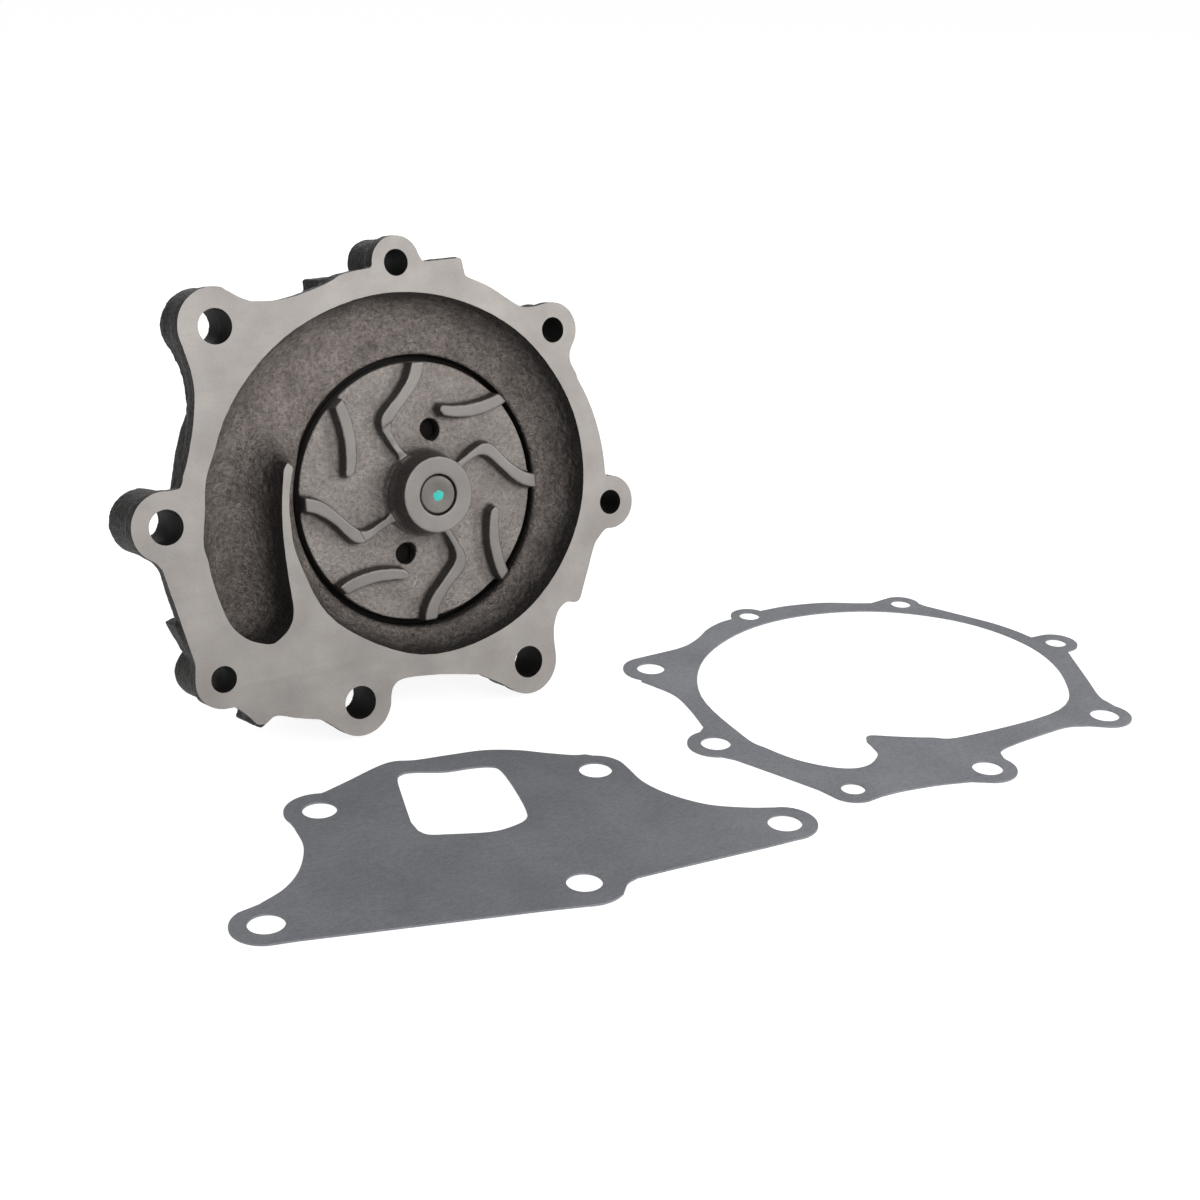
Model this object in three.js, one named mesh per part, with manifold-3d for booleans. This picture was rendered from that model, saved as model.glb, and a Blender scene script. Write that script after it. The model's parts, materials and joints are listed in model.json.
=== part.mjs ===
// A cast-iron engine coolant pump with its two paper gaskets, in millimetres, +Z up.
// The pump leans back on two bolt lugs and on the rim of its belt pulley; the gaskets lie beside it.
// Its open face holds a spiral water passage and an eight-vane impeller. The shaft runs in a sealed
// two-row ball bearing behind the impeller and carries the pulley at its rear end.
// Pump pieces are drawn in the pump's own frame: origin on the shaft axis at the gasket face,
// x to the right, y up the face, z out of the face, so the rear of the pump is at negative z.
import * as THREE from "three";
import { mergeVertices } from "three/addons/utils/BufferGeometryUtils.js";
import Module from "manifold-3d";

const wasm = await Module();
wasm.setup();

// How the pump stands
const LEAN = THREE.MathUtils.degToRad(12);
const LUG_DEPTH = 21;
const FOOT_Y = -75.6;
const BIG_LUG_R = 12.5;
const AXIS_HEIGHT = (BIG_LUG_R - FOOT_Y) * Math.cos(LEAN) + LUG_DEPTH * Math.sin(LEAN);

// Bolt lugs round the gasket face, clockwise from the top left
const SMALL_LUG_R = 10.2;
const TOP_LUG_R = 9.4;
const LUG_EDGE = 0.3;
const BIG_HOLE_R = 6.65;
const SMALL_HOLE_R = 5.15;
const LUGS = [
  { x: -83.8, y: 76.1, radius: BIG_LUG_R, hole: BIG_HOLE_R, depth: LUG_DEPTH + 2.5 },
  { x: -7.3, y: 91.9, radius: TOP_LUG_R, hole: SMALL_HOLE_R, depth: LUG_DEPTH + 3 },
  { x: 60.3, y: 58.2, radius: SMALL_LUG_R, hole: SMALL_HOLE_R, depth: LUG_DEPTH },
  { x: 80.3, y: -16.2, radius: SMALL_LUG_R, hole: SMALL_HOLE_R, depth: LUG_DEPTH },
  { x: 33, y: FOOT_Y, radius: BIG_LUG_R, hole: BIG_HOLE_R, depth: LUG_DEPTH },
  { x: -44.5, y: FOOT_Y, radius: BIG_LUG_R, hole: BIG_HOLE_R, depth: LUG_DEPTH },
  { x: -98.9, y: -54.3, radius: SMALL_LUG_R, hole: SMALL_HOLE_R, depth: LUG_DEPTH + 4 },
  { x: -112.8, y: 6.2, radius: BIG_LUG_R, hole: BIG_HOLE_R, depth: LUG_DEPTH + 6.5 },
];

// Gap left where the real pieces are pressed together
const FIT = 0.3;

// Shaft and bearing
const SHAFT_END_R = 7.95;
const SHAFT_R = SHAFT_END_R + 1.575;
const BALL_R = 3.17;
const BALL_COUNT = 7;
const BALL_CIRCLE_R = SHAFT_R + 3.035;
const RACE_GAP = 0.3;
const RACE_R = BALL_CIRCLE_R + 3.04;
const CAGE_WIDTH = 9;
const CAGE_HALF_T = 1.2;
const BEARING_R = RACE_R + 3.45;
const BEARING_FRONT = 44.3;
const BEARING_LENGTH = 38.9;
const BEARING_REAR = BEARING_FRONT + BEARING_LENGTH;
const BALL_ROWS = [BEARING_FRONT + BEARING_LENGTH / 4, BEARING_REAR - BEARING_LENGTH / 4];

// Impeller
const DISC_R = 52.2;
const DISC_FRONT = 17.9;
const DISC_REAR = DISC_FRONT + 5;
const HUB_R = SHAFT_END_R + 7.05;
const VANE_TOP = 11.6;
const INLET_RIB_TOP = VANE_TOP + 0.8;
const PULLER_HOLE_R = 4.5;
const PULLER_HOLE_AT = [8.5, 24];

// Water seal: the carbon ring rubs on the ceramic seat at this depth
const SEAL_FACE = DISC_REAR + 0.4;
const SEAT_POCKET_R = SHAFT_END_R + 5.85;
const SEAL_BORE_R = SHAFT_END_R + 10.25;
const SEAL_BORE_REAR = SEAL_FACE + 10.7;
const SPRING_TURNS = 3;
const SPRING_WIRE_R = 0.6;

// Housing
const FLANGE_T = 6.5;
const CHANNEL_DEPTH = 18.6;
const CHANNEL_FILLET = 8;
const POCKET_DEPTH = 24;
const POCKET_R = 14;
const POCKET_LENGTH = 46;
const WALL = 6;
const BODY_REAR = 31;
const CHAMBER_R = DISC_R + 2.6;
const CHAMBER_FLOOR = DISC_REAR + 1.1;
const SNOUT_R = BEARING_R + 6.45;
const SNOUT_REAR = BEARING_REAR - 3.2;
const DRAIN_R = HUB_R;
const WEEP_HOLE_R = 3;
const RIB_COUNT = 6;
const RIB_T = 6;

// Cast pads behind the edge of the gasket face: outline in the face and depth of the rear
const CAST_PADS = [
  { outline: [[5.6, 80], [21, 80], [21, 90.6], [5.6, 90.6]], rear: 14.7 },
  { outline: [[-37, 76], [-25, 76], [-25, 88.6], [-37, 88.6]], rear: 23 },
  { outline: [[-113.4, -31], [-107.6, -45.5], [-98, -46], [-103, -28.6]], rear: 16 },
  { outline: [[-91.2, -73], [-85.2, -77.4], [-79.5, -73], [-86, -62]], rear: 15 },
  { outline: [[-96.2, 75], [-93.9, 65.3], [-84, 65.3], [-84, 75]], rear: 19 },
];

// Pulley
const PULLEY_FRONT = 48;
const PULLEY_REAR = 72;
const PULLEY_R = (AXIS_HEIGHT - PULLEY_REAR * Math.sin(LEAN)) / Math.cos(LEAN);
const GROOVE_WIDTH = 16.5;
const GROOVE_DEPTH = 13;
const GROOVE_HALF_ANGLE = THREE.MathUtils.degToRad(19);
const RIM_INNER_R = PULLEY_R - 18.4;
const HAT_R = SNOUT_R + 8.5;
const HAT_INNER_R = SNOUT_R + 3;
const HAT_REAR = BEARING_REAR + 11.8;
const PULLEY_HUB_FRONT = BEARING_REAR + 1;
const SHAFT_REAR = HAT_REAR + 1;
const FAN_BOLT_CIRCLE_R = HAT_R - 11.8;
const FAN_BOLT_R = 3.4;

// Gaskets
const GASKET_T = 0.8;
const GASKET_HOLE_SHARE = 0.9;
const VOLUTE_GASKET_AT = { x: 186.4, y: -83.3, turn: THREE.MathUtils.degToRad(7.3) };
const PLATE_GASKET_AT = { x: -39, y: -108 };
const PLATE_HOLE_R = 6.4;

// ---------------------------------------------------------------- materials

function material(colour, roughness, metalness) {
  return new THREE.MeshStandardMaterial({ color: colour, roughness, metalness });
}

const castIron = () => material(0x8a827c, 0.62, 0.6);
const steel = () => material(0xb9bbbd, 0.25, 1);
const brass = () => material(0xb59a5a, 0.35, 1);
const rubber = () => material(0x1d1d1f, 0.85, 0);
const nylon = () => material(0x2f4b6b, 0.55, 0);
const carbon = () => material(0x2a2a2c, 0.45, 0.1);
const ceramic = () => material(0xe6e2d8, 0.3, 0);
const paper = () => material(0x62666d, 0.9, 0);

// ---------------------------------------------------------------- solids

// A three.js geometry as a solid that booleans can work on, with its faces turned outwards.
function solidOf(geometry) {
  const bare = geometry.clone();
  bare.deleteAttribute("normal");
  bare.deleteAttribute("uv");
  const merged = mergeVertices(bare, 1e-4);
  const index = merged.index.array;
  const corners = [];
  for (let i = 0; i < index.length; i += 3) {
    const [a, b, c] = [index[i], index[i + 1], index[i + 2]];
    if (a !== b && b !== c && c !== a) corners.push(a, b, c);
  }
  const build = (triVerts) =>
    new wasm.Manifold(
      new wasm.Mesh({
        numProp: 3,
        vertProperties: new Float32Array(merged.attributes.position.array),
        triVerts: new Uint32Array(triVerts),
      }),
    );
  const made = build(corners);
  return made.volume() < 0 ? build(corners.reverse()) : made;
}

function geometryOf(solid) {
  const mesh = solid.getMesh();
  const geometry = new THREE.BufferGeometry();
  geometry.setAttribute("position", new THREE.BufferAttribute(mesh.vertProperties, 3));
  geometry.setIndex(new THREE.BufferAttribute(mesh.triVerts, 1));
  return geometry.toNonIndexed();
}

function joined(solids) {
  return solids.reduce((all, next) => all.add(next));
}

// A solid of revolution about z from a closed profile of [radius, depth behind the face] pairs.
function turned(profile, segments = 40) {
  const points = [...profile, profile[0]].map(([r, depth]) => new THREE.Vector2(r, -depth));
  return solidOf(new THREE.LatheGeometry(points, segments).rotateX(Math.PI / 2));
}

function cylinder(radius, front, rear, x = 0, y = 0, segments = 24) {
  const geometry = new THREE.CylinderGeometry(radius, radius, rear - front, segments);
  geometry.rotateX(Math.PI / 2);
  geometry.translate(x, y, -(front + rear) / 2);
  return solidOf(geometry);
}

function box(x0, x1, y0, y1, front, rear) {
  const geometry = new THREE.BoxGeometry(x1 - x0, y1 - y0, rear - front);
  geometry.translate((x0 + x1) / 2, (y0 + y1) / 2, -(front + rear) / 2);
  return solidOf(geometry);
}

// The outline drawn through the face from one depth to another.
function extruded(points, front, rear) {
  const geometry = new THREE.ExtrudeGeometry(new THREE.Shape(points), {
    depth: rear - front,
    bevelEnabled: false,
  });
  geometry.translate(0, 0, -rear);
  return solidOf(geometry);
}

// The same with its rear edge rounded inwards by the fillet; the front edge is rounded as well, so the
// piece starts a little way in front of where it is needed.
function extrudedRound(points, front, rear, fillet, steps = 3) {
  const geometry = new THREE.ExtrudeGeometry(new THREE.Shape(points), {
    depth: rear - front - 2 * fillet,
    bevelThickness: fillet,
    bevelSize: fillet,
    bevelOffset: -fillet,
    bevelSegments: steps,
  });
  geometry.translate(0, 0, -rear + fillet);
  return solidOf(geometry);
}

// Points of an arc, angles in degrees, anticlockwise when the second is the larger.
function arc(x, y, radius, from, to, steps) {
  const points = [];
  for (let i = 0; i <= steps; i += 1) {
    const angle = THREE.MathUtils.degToRad(from + ((to - from) * i) / steps);
    points.push(new THREE.Vector2(x + radius * Math.cos(angle), y + radius * Math.sin(angle)));
  }
  return points;
}

// Points of a smooth curve through the corners given.
function curve(corners, steps) {
  const through = corners.map(([x, y]) => new THREE.Vector2(x, y));
  return new THREE.SplineCurve(through).getPoints(steps);
}

function corner(x, y) {
  return [new THREE.Vector2(x, y)];
}

// ---------------------------------------------------------------- outlines

// The machined gasket face, clockwise from the top lug.
function flangeOutline() {
  return [
    ...arc(-7.3, 91.9, TOP_LUG_R + LUG_EDGE, 184, 12, 10),
    ...corner(4.4, 91),
    ...corner(21.4, 91),
    ...corner(22.4, 84),
    ...curve([[24, 83], [32, 79], [40, 73.4], [46.5, 69.2], [52, 68.4]], 8),
    ...arc(60.3, 58.2, 10.6, 96, -42, 9),
    ...curve([[67.2, 47.6], [67.4, 44], [69.6, 39.4]], 3),
    ...arc(0, 0, 79.2, 28, -2, 7),
    ...arc(80.3, -16.2, 10.5, 96, -106, 11),
    ...curve([[74.5, -28.8], [70.5, -33], [66, -43], [61.5, -53]], 5),
    ...curve([[60.4, -54.8], [58, -55.2], [54, -54.4], [49.6, -57.4], [46.9, -63.5], [46.2, -70]], 7),
    ...arc(33, FOOT_Y, BIG_LUG_R + LUG_EDGE, 5, -134, 10),
    ...corner(9.5, -76),
    ...curve([[0, -73.8], [-10, -71.8], [-24, -70.2], [-29.4, -72], [-31.6, -75.6]], 8),
    ...arc(-44.5, FOOT_Y, BIG_LUG_R + LUG_EDGE, -12, -136, 9),
    ...curve([[-62, -78.6], [-72, -75.6], [-80, -72.9], [-84.8, -75.1]], 5),
    ...curve([[-88, -74.6], [-92, -69.6], [-96, -65.6]], 3),
    ...arc(-98.9, -54.3, 10.9, -92, -176, 6),
    ...corner(-109.2, -46),
    ...corner(-116.4, -9.5),
    ...arc(-112.8, 6.2, 12.7, -118, -282, 11),
    ...curve([[-105.6, 19.4], [-101.6, 26.6], [-97, 40], [-94.5, 52], [-94.6, 61], [-95.9, 68]], 9),
    ...arc(-83.8, 76.1, 13.6, -158, -312, 11),
    ...curve([[-68.6, 83.6], [-58, 82.9], [-48, 84.2], [-37, 87], [-30, 89.8], [-18.6, 90.8]], 8),
  ];
}

// Radius of the spiral passage's outer edge at angles measured anticlockwise from the tongue.
const SPIRAL = [
  [40, 65.6],
  [76, 64.2],
  [110, 63.5],
  [140, 65.1],
  [170, 67.9],
  [200, 70.6],
  [230, 73.5],
  [258, 77.3],
  [284, 83],
  [310, 89.7],
  [334, 95],
  [358, 98.6],
];

function spiralPoints(extra) {
  return SPIRAL.map(([angle, radius]) => {
    const turn = THREE.MathUtils.degToRad(180 + angle);
    return [(radius + extra) * Math.cos(turn), (radius + extra) * Math.sin(turn)];
  });
}

// The edge of the water passage in the face: spiral, blind outlet pocket and the tongue between them.
function passageOutline() {
  return [
    ...curve([[-60.4, 20.4], [-63.3, 10], [-64.2, 0], [-62.6, -16], spiralPoints(0)[0]], 7),
    ...curve(spiralPoints(0), 34).slice(1),
    ...curve([[-98.6, -10], [-97, -21], [-93.4, -31], [-87, -40], [-79.5, -44.6]], 8),
    ...curve([[-75, -43.9], [-70, -40], [-67.7, -34]], 3),
    ...curve([[-68.4, -22], [-68.9, -8], [-67.6, 5], [-64.2, 20]], 6),
    ...corner(-62.4, 22.4),
  ];
}

// The back of the casting behind the passage.
function bodyOutline() {
  return [
    ...curve([...spiralPoints(WALL)], 30),
    ...curve([[-104.4, -12], [-102.6, -25], [-97, -38], [-88, -47.5], [-76, -51]], 8),
    ...curve([[-66, -50], [-58, -47]], 2),
  ];
}

function longVaneOutline() {
  return [
    ...curve([[1, 52], [-1.6, 46.6], [-6.5, 40.6], [-11.8, 36.2], [-14.8, 33], [-15.6, 29.8]], 10),
    ...curve([[-15, 27], [-12.5, 22], [-9, 15]], 3),
    ...corner(-7, 12),
    ...corner(-3.6, 12),
    ...curve([[-6, 15.6], [-9, 21], [-11, 26], [-10.7, 29.4]], 4),
    ...curve([[-9, 32], [-4, 36.9], [1.4, 42], [4.8, 47.2], [6.4, 51.6]], 8),
  ];
}

function inletRibOutline() {
  return [
    ...curve([[-16.4, 28.2], [-15.8, 26.4], [-12.9, 21.6], [-9.4, 15]], 4),
    ...corner(-7, 12),
    ...corner(-2, 11),
    ...curve([[-5.2, 15.6], [-8.2, 21], [-10, 26], [-9.8, 28.2]], 4),
  ];
}

function shortVaneOutline() {
  return [
    ...curve([[12.2, 33.6], [18, 32.6], [26, 32.3], [33, 33.2], [39, 34.4]], 6),
    ...curve([[41.6, 31.2], [38, 29.4], [32, 28], [25, 27.4], [18, 28], [12.6, 29.4]], 7),
    ...corner(11, 31.4),
  ];
}

// The volute gasket follows the gasket face with simpler edges and a shorter tongue.
function voluteGasketOutline() {
  return [
    ...arc(-7.3, 91.9, 8.6, 168, 8, 9),
    ...curve([[4, 92.6], [16, 89.6], [32, 82], [44, 72], [50, 67.6]], 8),
    ...arc(60.3, 58.2, 8.8, 92, -36, 8),
    ...curve([[67.6, 49], [71.6, 34], [76, 16], [77, 3], [76.4, -5.5]], 8),
    ...arc(80.3, -16.2, 9.6, 78, -112, 10),
    ...curve([[72, -31], [58, -49], [47, -63], [44.6, -70]], 6),
    ...arc(33, FOOT_Y, 11, 12, -142, 10),
    ...curve([[20, -77.6], [12, -72.6], [0, -70.6], [-18, -68.8], [-28, -69.4], [-32.4, -74]], 9),
    ...arc(-44.5, FOOT_Y, 11.6, 0, -128, 9),
    ...curve([[-58, -78.6], [-70, -72.6], [-84, -67.4], [-94, -65]], 6),
    ...arc(-98.9, -54.3, 10.4, -102, -188, 6),
    ...curve([[-109.4, -46], [-113, -26], [-116.4, -8.6]], 4),
    ...arc(-112.8, 6.2, 11.4, -122, -280, 10),
    ...curve([[-106, 20], [-98.6, 36], [-94, 50], [-94.6, 62], [-95.6, 69]], 7),
    ...arc(-83.8, 76.1, 12, -152, -278, 9),
    ...curve([[-76, 87], [-58, 84.6], [-46, 87], [-34, 92.4], [-24, 94.6], [-16.6, 94.4]], 9),
  ];
}

function voluteGasketOpening() {
  return [
    ...curve([[-61, -27.4], [-58, -28], [-51, -35], [-41, -44], [-29, -52], spiralPoints(1)[2]], 9),
    ...curve(spiralPoints(1).slice(2), 28).slice(1),
    ...curve([[-100, -10], [-98, -24], [-92.6, -36], [-86, -43], [-78, -44.6], [-69, -40.6]], 9),
    ...curve([[-66, -36], [-64.4, -31]], 1),
  ];
}

// Bolt holes of the plate gasket, in its own frame.
const PLATE_HOLES = [
  [-45.7, 47.5],
  [58.9, 22],
  [94.8, -49.3],
  [8.8, -46.4],
  [-95, -14.1],
];

function plateGasketOutline() {
  return [
    ...arc(-45.7, 47.5, 13.2, 190, 62, 8),
    ...curve([[-37, 59.6], [-26, 63], [-12, 67.6], [-4, 68.4], [4, 65], [18, 62], [31, 58.6], [42, 52]], 12),
    ...curve([[50, 44.4], [58, 37.4], [63, 35]], 3),
    ...arc(58.9, 22, 12.2, 62, -8, 5),
    ...curve([[70.4, 16], [69, 4], [71.6, -9], [79, -23], [90, -32.6], [99, -38]], 10),
    ...arc(94.8, -49.3, 12.2, 58, -106, 9),
    ...corner(78, -59.6),
    ...corner(39, -54.4),
    ...curve([[26.6, -53], [21.6, -54.4], [17.6, -58]], 3),
    ...arc(8.8, -46.4, 15, -60, -118, 5),
    ...corner(-12, -54.6),
    ...corner(-90, -28.4),
    ...arc(-95, -14.1, 12.4, -104, -246, 9),
    ...curve([[-92, -1.6], [-80, 3.6], [-70, 13], [-62, 27], [-59, 41]], 9),
  ];
}

function plateGasketWindow() {
  return [
    ...curve([[-22.4, 15], [-20.4, 10.6], [-13, 6.6], [-1, 1], [7, 0.2], [15, 2.2], [19.4, 9]], 12),
    ...curve([[24.6, 26], [27.8, 41], [26, 45.6], [19, 48.6], [9, 51], [-1, 56.6]], 10),
    ...curve([[-6, 57.6], [-10, 54], [-16, 38], [-21.6, 22]], 6),
  ];
}

// ---------------------------------------------------------------- housing

// A web from the snout to the back of the body, in the plane through the axis at the angle.
function rib(angle) {
  const shape = new THREE.Shape([
    new THREE.Vector2(SNOUT_R - 5.5, -BODY_REAR + 3),
    new THREE.Vector2(SNOUT_R + 26.5, -BODY_REAR + 3),
    new THREE.Vector2(SNOUT_R + 24.5, -BODY_REAR - 2),
    new THREE.Vector2(SNOUT_R + 3, -BODY_REAR - 20),
    new THREE.Vector2(SNOUT_R - 5.5, -BODY_REAR - 26),
  ]);
  const geometry = new THREE.ExtrudeGeometry(shape, { depth: RIB_T, bevelEnabled: false });
  geometry.translate(0, 0, -RIB_T / 2);
  geometry.rotateX(Math.PI / 2);
  geometry.rotateZ(angle);
  return solidOf(geometry);
}

// The thickened edge that runs down from the top left lug, thinning out towards the left lug.
function edgeWeb() {
  const side = new THREE.Shape([
    new THREE.Vector2(70, -3),
    new THREE.Vector2(25, -3),
    new THREE.Vector2(25, -FLANGE_T + 0.5),
    new THREE.Vector2(62, -14.4),
    new THREE.Vector2(70, -15.6),
  ]);
  const geometry = new THREE.ExtrudeGeometry(side, { depth: 20, bevelEnabled: false });
  geometry.applyMatrix4(new THREE.Matrix4().makeBasis(
    new THREE.Vector3(0, 1, 0),
    new THREE.Vector3(0, 0, 1),
    new THREE.Vector3(1, 0, 0),
  ));
  geometry.translate(-105, 0, 0);
  return solidOf(geometry).intersect(extruded(flangeOutline(), 2, 20));
}

function housingOutside() {
  const pieces = [
    extruded(flangeOutline(), 0, FLANGE_T),
    extrudedRound(bodyOutline(), 1, BODY_REAR, 10),
    turned([
      [0, BODY_REAR - 3], [SNOUT_R + 18.5, BODY_REAR - 3], [SNOUT_R + 8.5, BODY_REAR + 6],
      [SNOUT_R + 3, BODY_REAR + 15], [SNOUT_R, BODY_REAR + 23], [SNOUT_R, SNOUT_REAR - 1],
      [SNOUT_R - 1, SNOUT_REAR], [0, SNOUT_REAR],
    ]),
  ];
  for (const pad of CAST_PADS) {
    pieces.push(extruded(pad.outline.flatMap(([x, y]) => corner(x, y)), 3.5, pad.rear));
  }
  pieces.push(edgeWeb());
  for (const lug of LUGS) {
    pieces.push(cylinder(lug.radius, 0.5, lug.depth, lug.x, lug.y, 32));
    const inwards = Math.atan2(lug.y, lug.x);
    const half = lug.radius * 0.72;
    const neck = box(-lug.radius - 8, 0, -half, half, 2, lug.depth - 5);
    pieces.push(neck.rotate([0, 0, THREE.MathUtils.radToDeg(inwards)]).translate([lug.x, lug.y, 0]));
  }
  for (let i = 0; i < RIB_COUNT; i += 1) pieces.push(rib((i * 2 * Math.PI) / RIB_COUNT));
  return joined(pieces);
}

// The deep round trough of the blind outlet pocket, running out into the spiral at its upper end.
function pocketTrough() {
  const geometry = new THREE.CapsuleGeometry(POCKET_R, POCKET_LENGTH, 6, 24);
  geometry.rotateX(THREE.MathUtils.degToRad(4));
  geometry.translate(-81.9, -30.2 + POCKET_LENGTH / 2, POCKET_R - POCKET_DEPTH + 1.6);
  return solidOf(geometry);
}

function housing() {
  const waterSide = joined([
    extrudedRound(passageOutline(), -CHANNEL_FILLET - 1, CHANNEL_DEPTH, CHANNEL_FILLET, 4),
    pocketTrough(),
    cylinder(CHAMBER_R, 10, CHAMBER_FLOOR, 0, 0, 64),
  ]);
  const bores = turned([
    [0, CHAMBER_FLOOR - 4], [SEAL_BORE_R, CHAMBER_FLOOR - 4], [SEAL_BORE_R, SEAL_BORE_REAR],
    [DRAIN_R, SEAL_BORE_REAR], [DRAIN_R, BEARING_FRONT - FIT], [BEARING_R + FIT, BEARING_FRONT - FIT],
    [BEARING_R + FIT, SNOUT_REAR + 10], [0, SNOUT_REAR + 10],
  ]);
  const weep = solidOf(
    new THREE.CylinderGeometry(WEEP_HOLE_R, WEEP_HOLE_R, 60, 12).translate(0, -30, -BEARING_FRONT + 5.3),
  );
  let made = housingOutside().subtract(waterSide).subtract(bores).subtract(weep);
  for (const lug of LUGS) {
    made = made.subtract(cylinder(lug.hole, -1, lug.depth + 5, lug.x, lug.y, 24));
  }
  return made;
}

// ---------------------------------------------------------------- impeller

function impeller() {
  const bore = SHAFT_END_R + FIT;
  const seatPocketFront = SEAL_FACE - 5.3;
  const body = turned([
    [bore, 1], [bore + 1, 0], [HUB_R, 0], [HUB_R + 0.6, 8], [HUB_R + 2.6, 14], [HUB_R + 7, DISC_FRONT],
    [DISC_R, DISC_FRONT], [DISC_R, DISC_REAR], [SEAT_POCKET_R, DISC_REAR],
    [SEAT_POCKET_R, seatPocketFront], [bore, seatPocketFront],
  ], 56);
  const vanes = [];
  for (let quarter = 0; quarter < 4; quarter += 1) {
    const turn = [0, 0, -90 * quarter];
    vanes.push(extruded(longVaneOutline(), VANE_TOP, DISC_FRONT + 1).rotate(turn));
    vanes.push(extruded(shortVaneOutline(), VANE_TOP, DISC_FRONT + 1).rotate(turn));
  }
  const ring = cylinder(DISC_R - 0.1, 0, 30, 0, 0, 56).subtract(cylinder(HUB_R - 1, -1, 31, 0, 0, 48));
  let made = body.add(joined(vanes).intersect(ring));
  for (const side of [1, -1]) {
    const [x, y] = PULLER_HOLE_AT;
    made = made.subtract(cylinder(PULLER_HOLE_R, 5, 30, side * x, side * y, 20));
  }
  // Two of the inlet ribs stand a little lower than the vanes they lead into.
  for (const quarter of [0, 3]) {
    const skim = extruded(inletRibOutline(), VANE_TOP - 2, INLET_RIB_TOP).rotate([0, 0, -90 * quarter]);
    made = made.subtract(skim.subtract(cylinder(HUB_R + 1.6, 0, 30, 0, 0, 48)));
  }
  return made;
}

// ---------------------------------------------------------------- shaft and bearing

// Profile points of a raceway of the radius given, round the ball circle at the depth given.
function raceway(depth, edgeRadius, inside) {
  const radius = BALL_R + RACE_GAP;
  const reach = Math.acos(Math.abs(BALL_CIRCLE_R - edgeRadius) / radius);
  const points = [];
  for (let i = 0; i <= 6; i += 1) {
    const angle = -reach + (2 * reach * i) / 6;
    const side = inside ? -1 : 1;
    points.push([BALL_CIRCLE_R + side * radius * Math.cos(angle), depth + radius * Math.sin(angle)]);
  }
  return points;
}

function shaft() {
  return turned([
    [0, 0.4], [SHAFT_END_R - 0.8, 0.4], [SHAFT_END_R, 1.2], [SHAFT_END_R, BEARING_FRONT - 3.3],
    [SHAFT_R, BEARING_FRONT - 1.7],
    ...raceway(BALL_ROWS[0], SHAFT_R, true),
    ...raceway(BALL_ROWS[1], SHAFT_R, true),
    [SHAFT_R, BEARING_REAR - 1.2], [SHAFT_END_R, BEARING_REAR + 0.2], [SHAFT_END_R, SHAFT_REAR - 1],
    [SHAFT_END_R - 1, SHAFT_REAR],
    [0, SHAFT_REAR],
  ]);
}

function bearingRing() {
  return turned([
    [RACE_R, BEARING_FRONT],
    ...raceway(BALL_ROWS[0], RACE_R, false),
    ...raceway(BALL_ROWS[1], RACE_R, false),
    [RACE_R, BEARING_REAR], [BEARING_R - 0.6, BEARING_REAR], [BEARING_R, BEARING_REAR - 0.6],
    [BEARING_R, BEARING_FRONT + 0.6], [BEARING_R - 0.6, BEARING_FRONT],
  ]);
}

function ballPlace(row, i) {
  const angle = (2 * Math.PI * i) / BALL_COUNT + row * 0.3;
  const depth = BALL_ROWS[row];
  return [BALL_CIRCLE_R * Math.cos(angle), BALL_CIRCLE_R * Math.sin(angle), -depth];
}

function ball() {
  return new THREE.SphereGeometry(BALL_R, 10, 6);
}

function cage(row) {
  const [inner, outer] = [BALL_CIRCLE_R - CAGE_HALF_T, BALL_CIRCLE_R + CAGE_HALF_T];
  const [front, rear] = [BALL_ROWS[row] - CAGE_WIDTH / 2, BALL_ROWS[row] + CAGE_WIDTH / 2];
  let made = turned([[inner, front], [outer, front], [outer, rear], [inner, rear]], 28);
  for (let i = 0; i < BALL_COUNT; i += 1) {
    const pocket = solidOf(new THREE.SphereGeometry(BALL_R + 0.35, 10, 8));
    made = made.subtract(pocket.translate(ballPlace(row, i)));
  }
  return made;
}

function bearingSeal(front) {
  return turned([
    [SHAFT_R + 0.375, front], [RACE_R - 0.4, front], [RACE_R - 0.4, front + 2.2],
    [SHAFT_R + 2.9, front + 2.2], [SHAFT_R + 1.5, front + 1.4], [SHAFT_R + 0.375, front + 1.4],
  ], 28);
}

// ---------------------------------------------------------------- water seal

// A turned piece of the seal: radii are measured out from the shaft, depths back from the rubbing face.
function sealPiece(profile, segments = 28) {
  return turned(profile.map(([r, depth]) => [SHAFT_END_R + r, SEAL_FACE + depth]), segments);
}

function sealCup() {
  const wall = SEAL_BORE_R - SHAFT_END_R - 0.4;
  const lip = wall - 0.8;
  return sealPiece([[2.45, 9.5], [lip, 9.5], [lip, 1.1], [wall, 1.1], [wall, 10.3], [2.45, 10.3]], 40);
}

function sealBellows() {
  return sealPiece([
    [2.25, 4.3], [5.65, 4.3], [5.65, 5.3], [4.65, 6], [5.65, 6.8], [4.65, 7.6], [5.65, 8.3], [5.65, 9.1],
    [2.25, 9.1], [2.25, 7.7], [3.05, 6.9], [2.25, 6.1],
  ]);
}

function sealSpring() {
  const points = [];
  const steps = SPRING_TURNS * 16;
  const radius = SHAFT_END_R + 7.35;
  for (let i = 0; i <= steps; i += 1) {
    const angle = (2 * Math.PI * SPRING_TURNS * i) / steps;
    const depth = SEAL_FACE + 4.1 + (4 * i) / steps;
    points.push(new THREE.Vector3(radius * Math.cos(angle), radius * Math.sin(angle), -depth));
  }
  const wire = new THREE.Shape(arc(0, 0, SPRING_WIRE_R, 0, 288, 4));
  return new THREE.ExtrudeGeometry(wire, {
    steps,
    extrudePath: new THREE.CatmullRomCurve3(points),
    bevelEnabled: false,
  });
}

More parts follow.
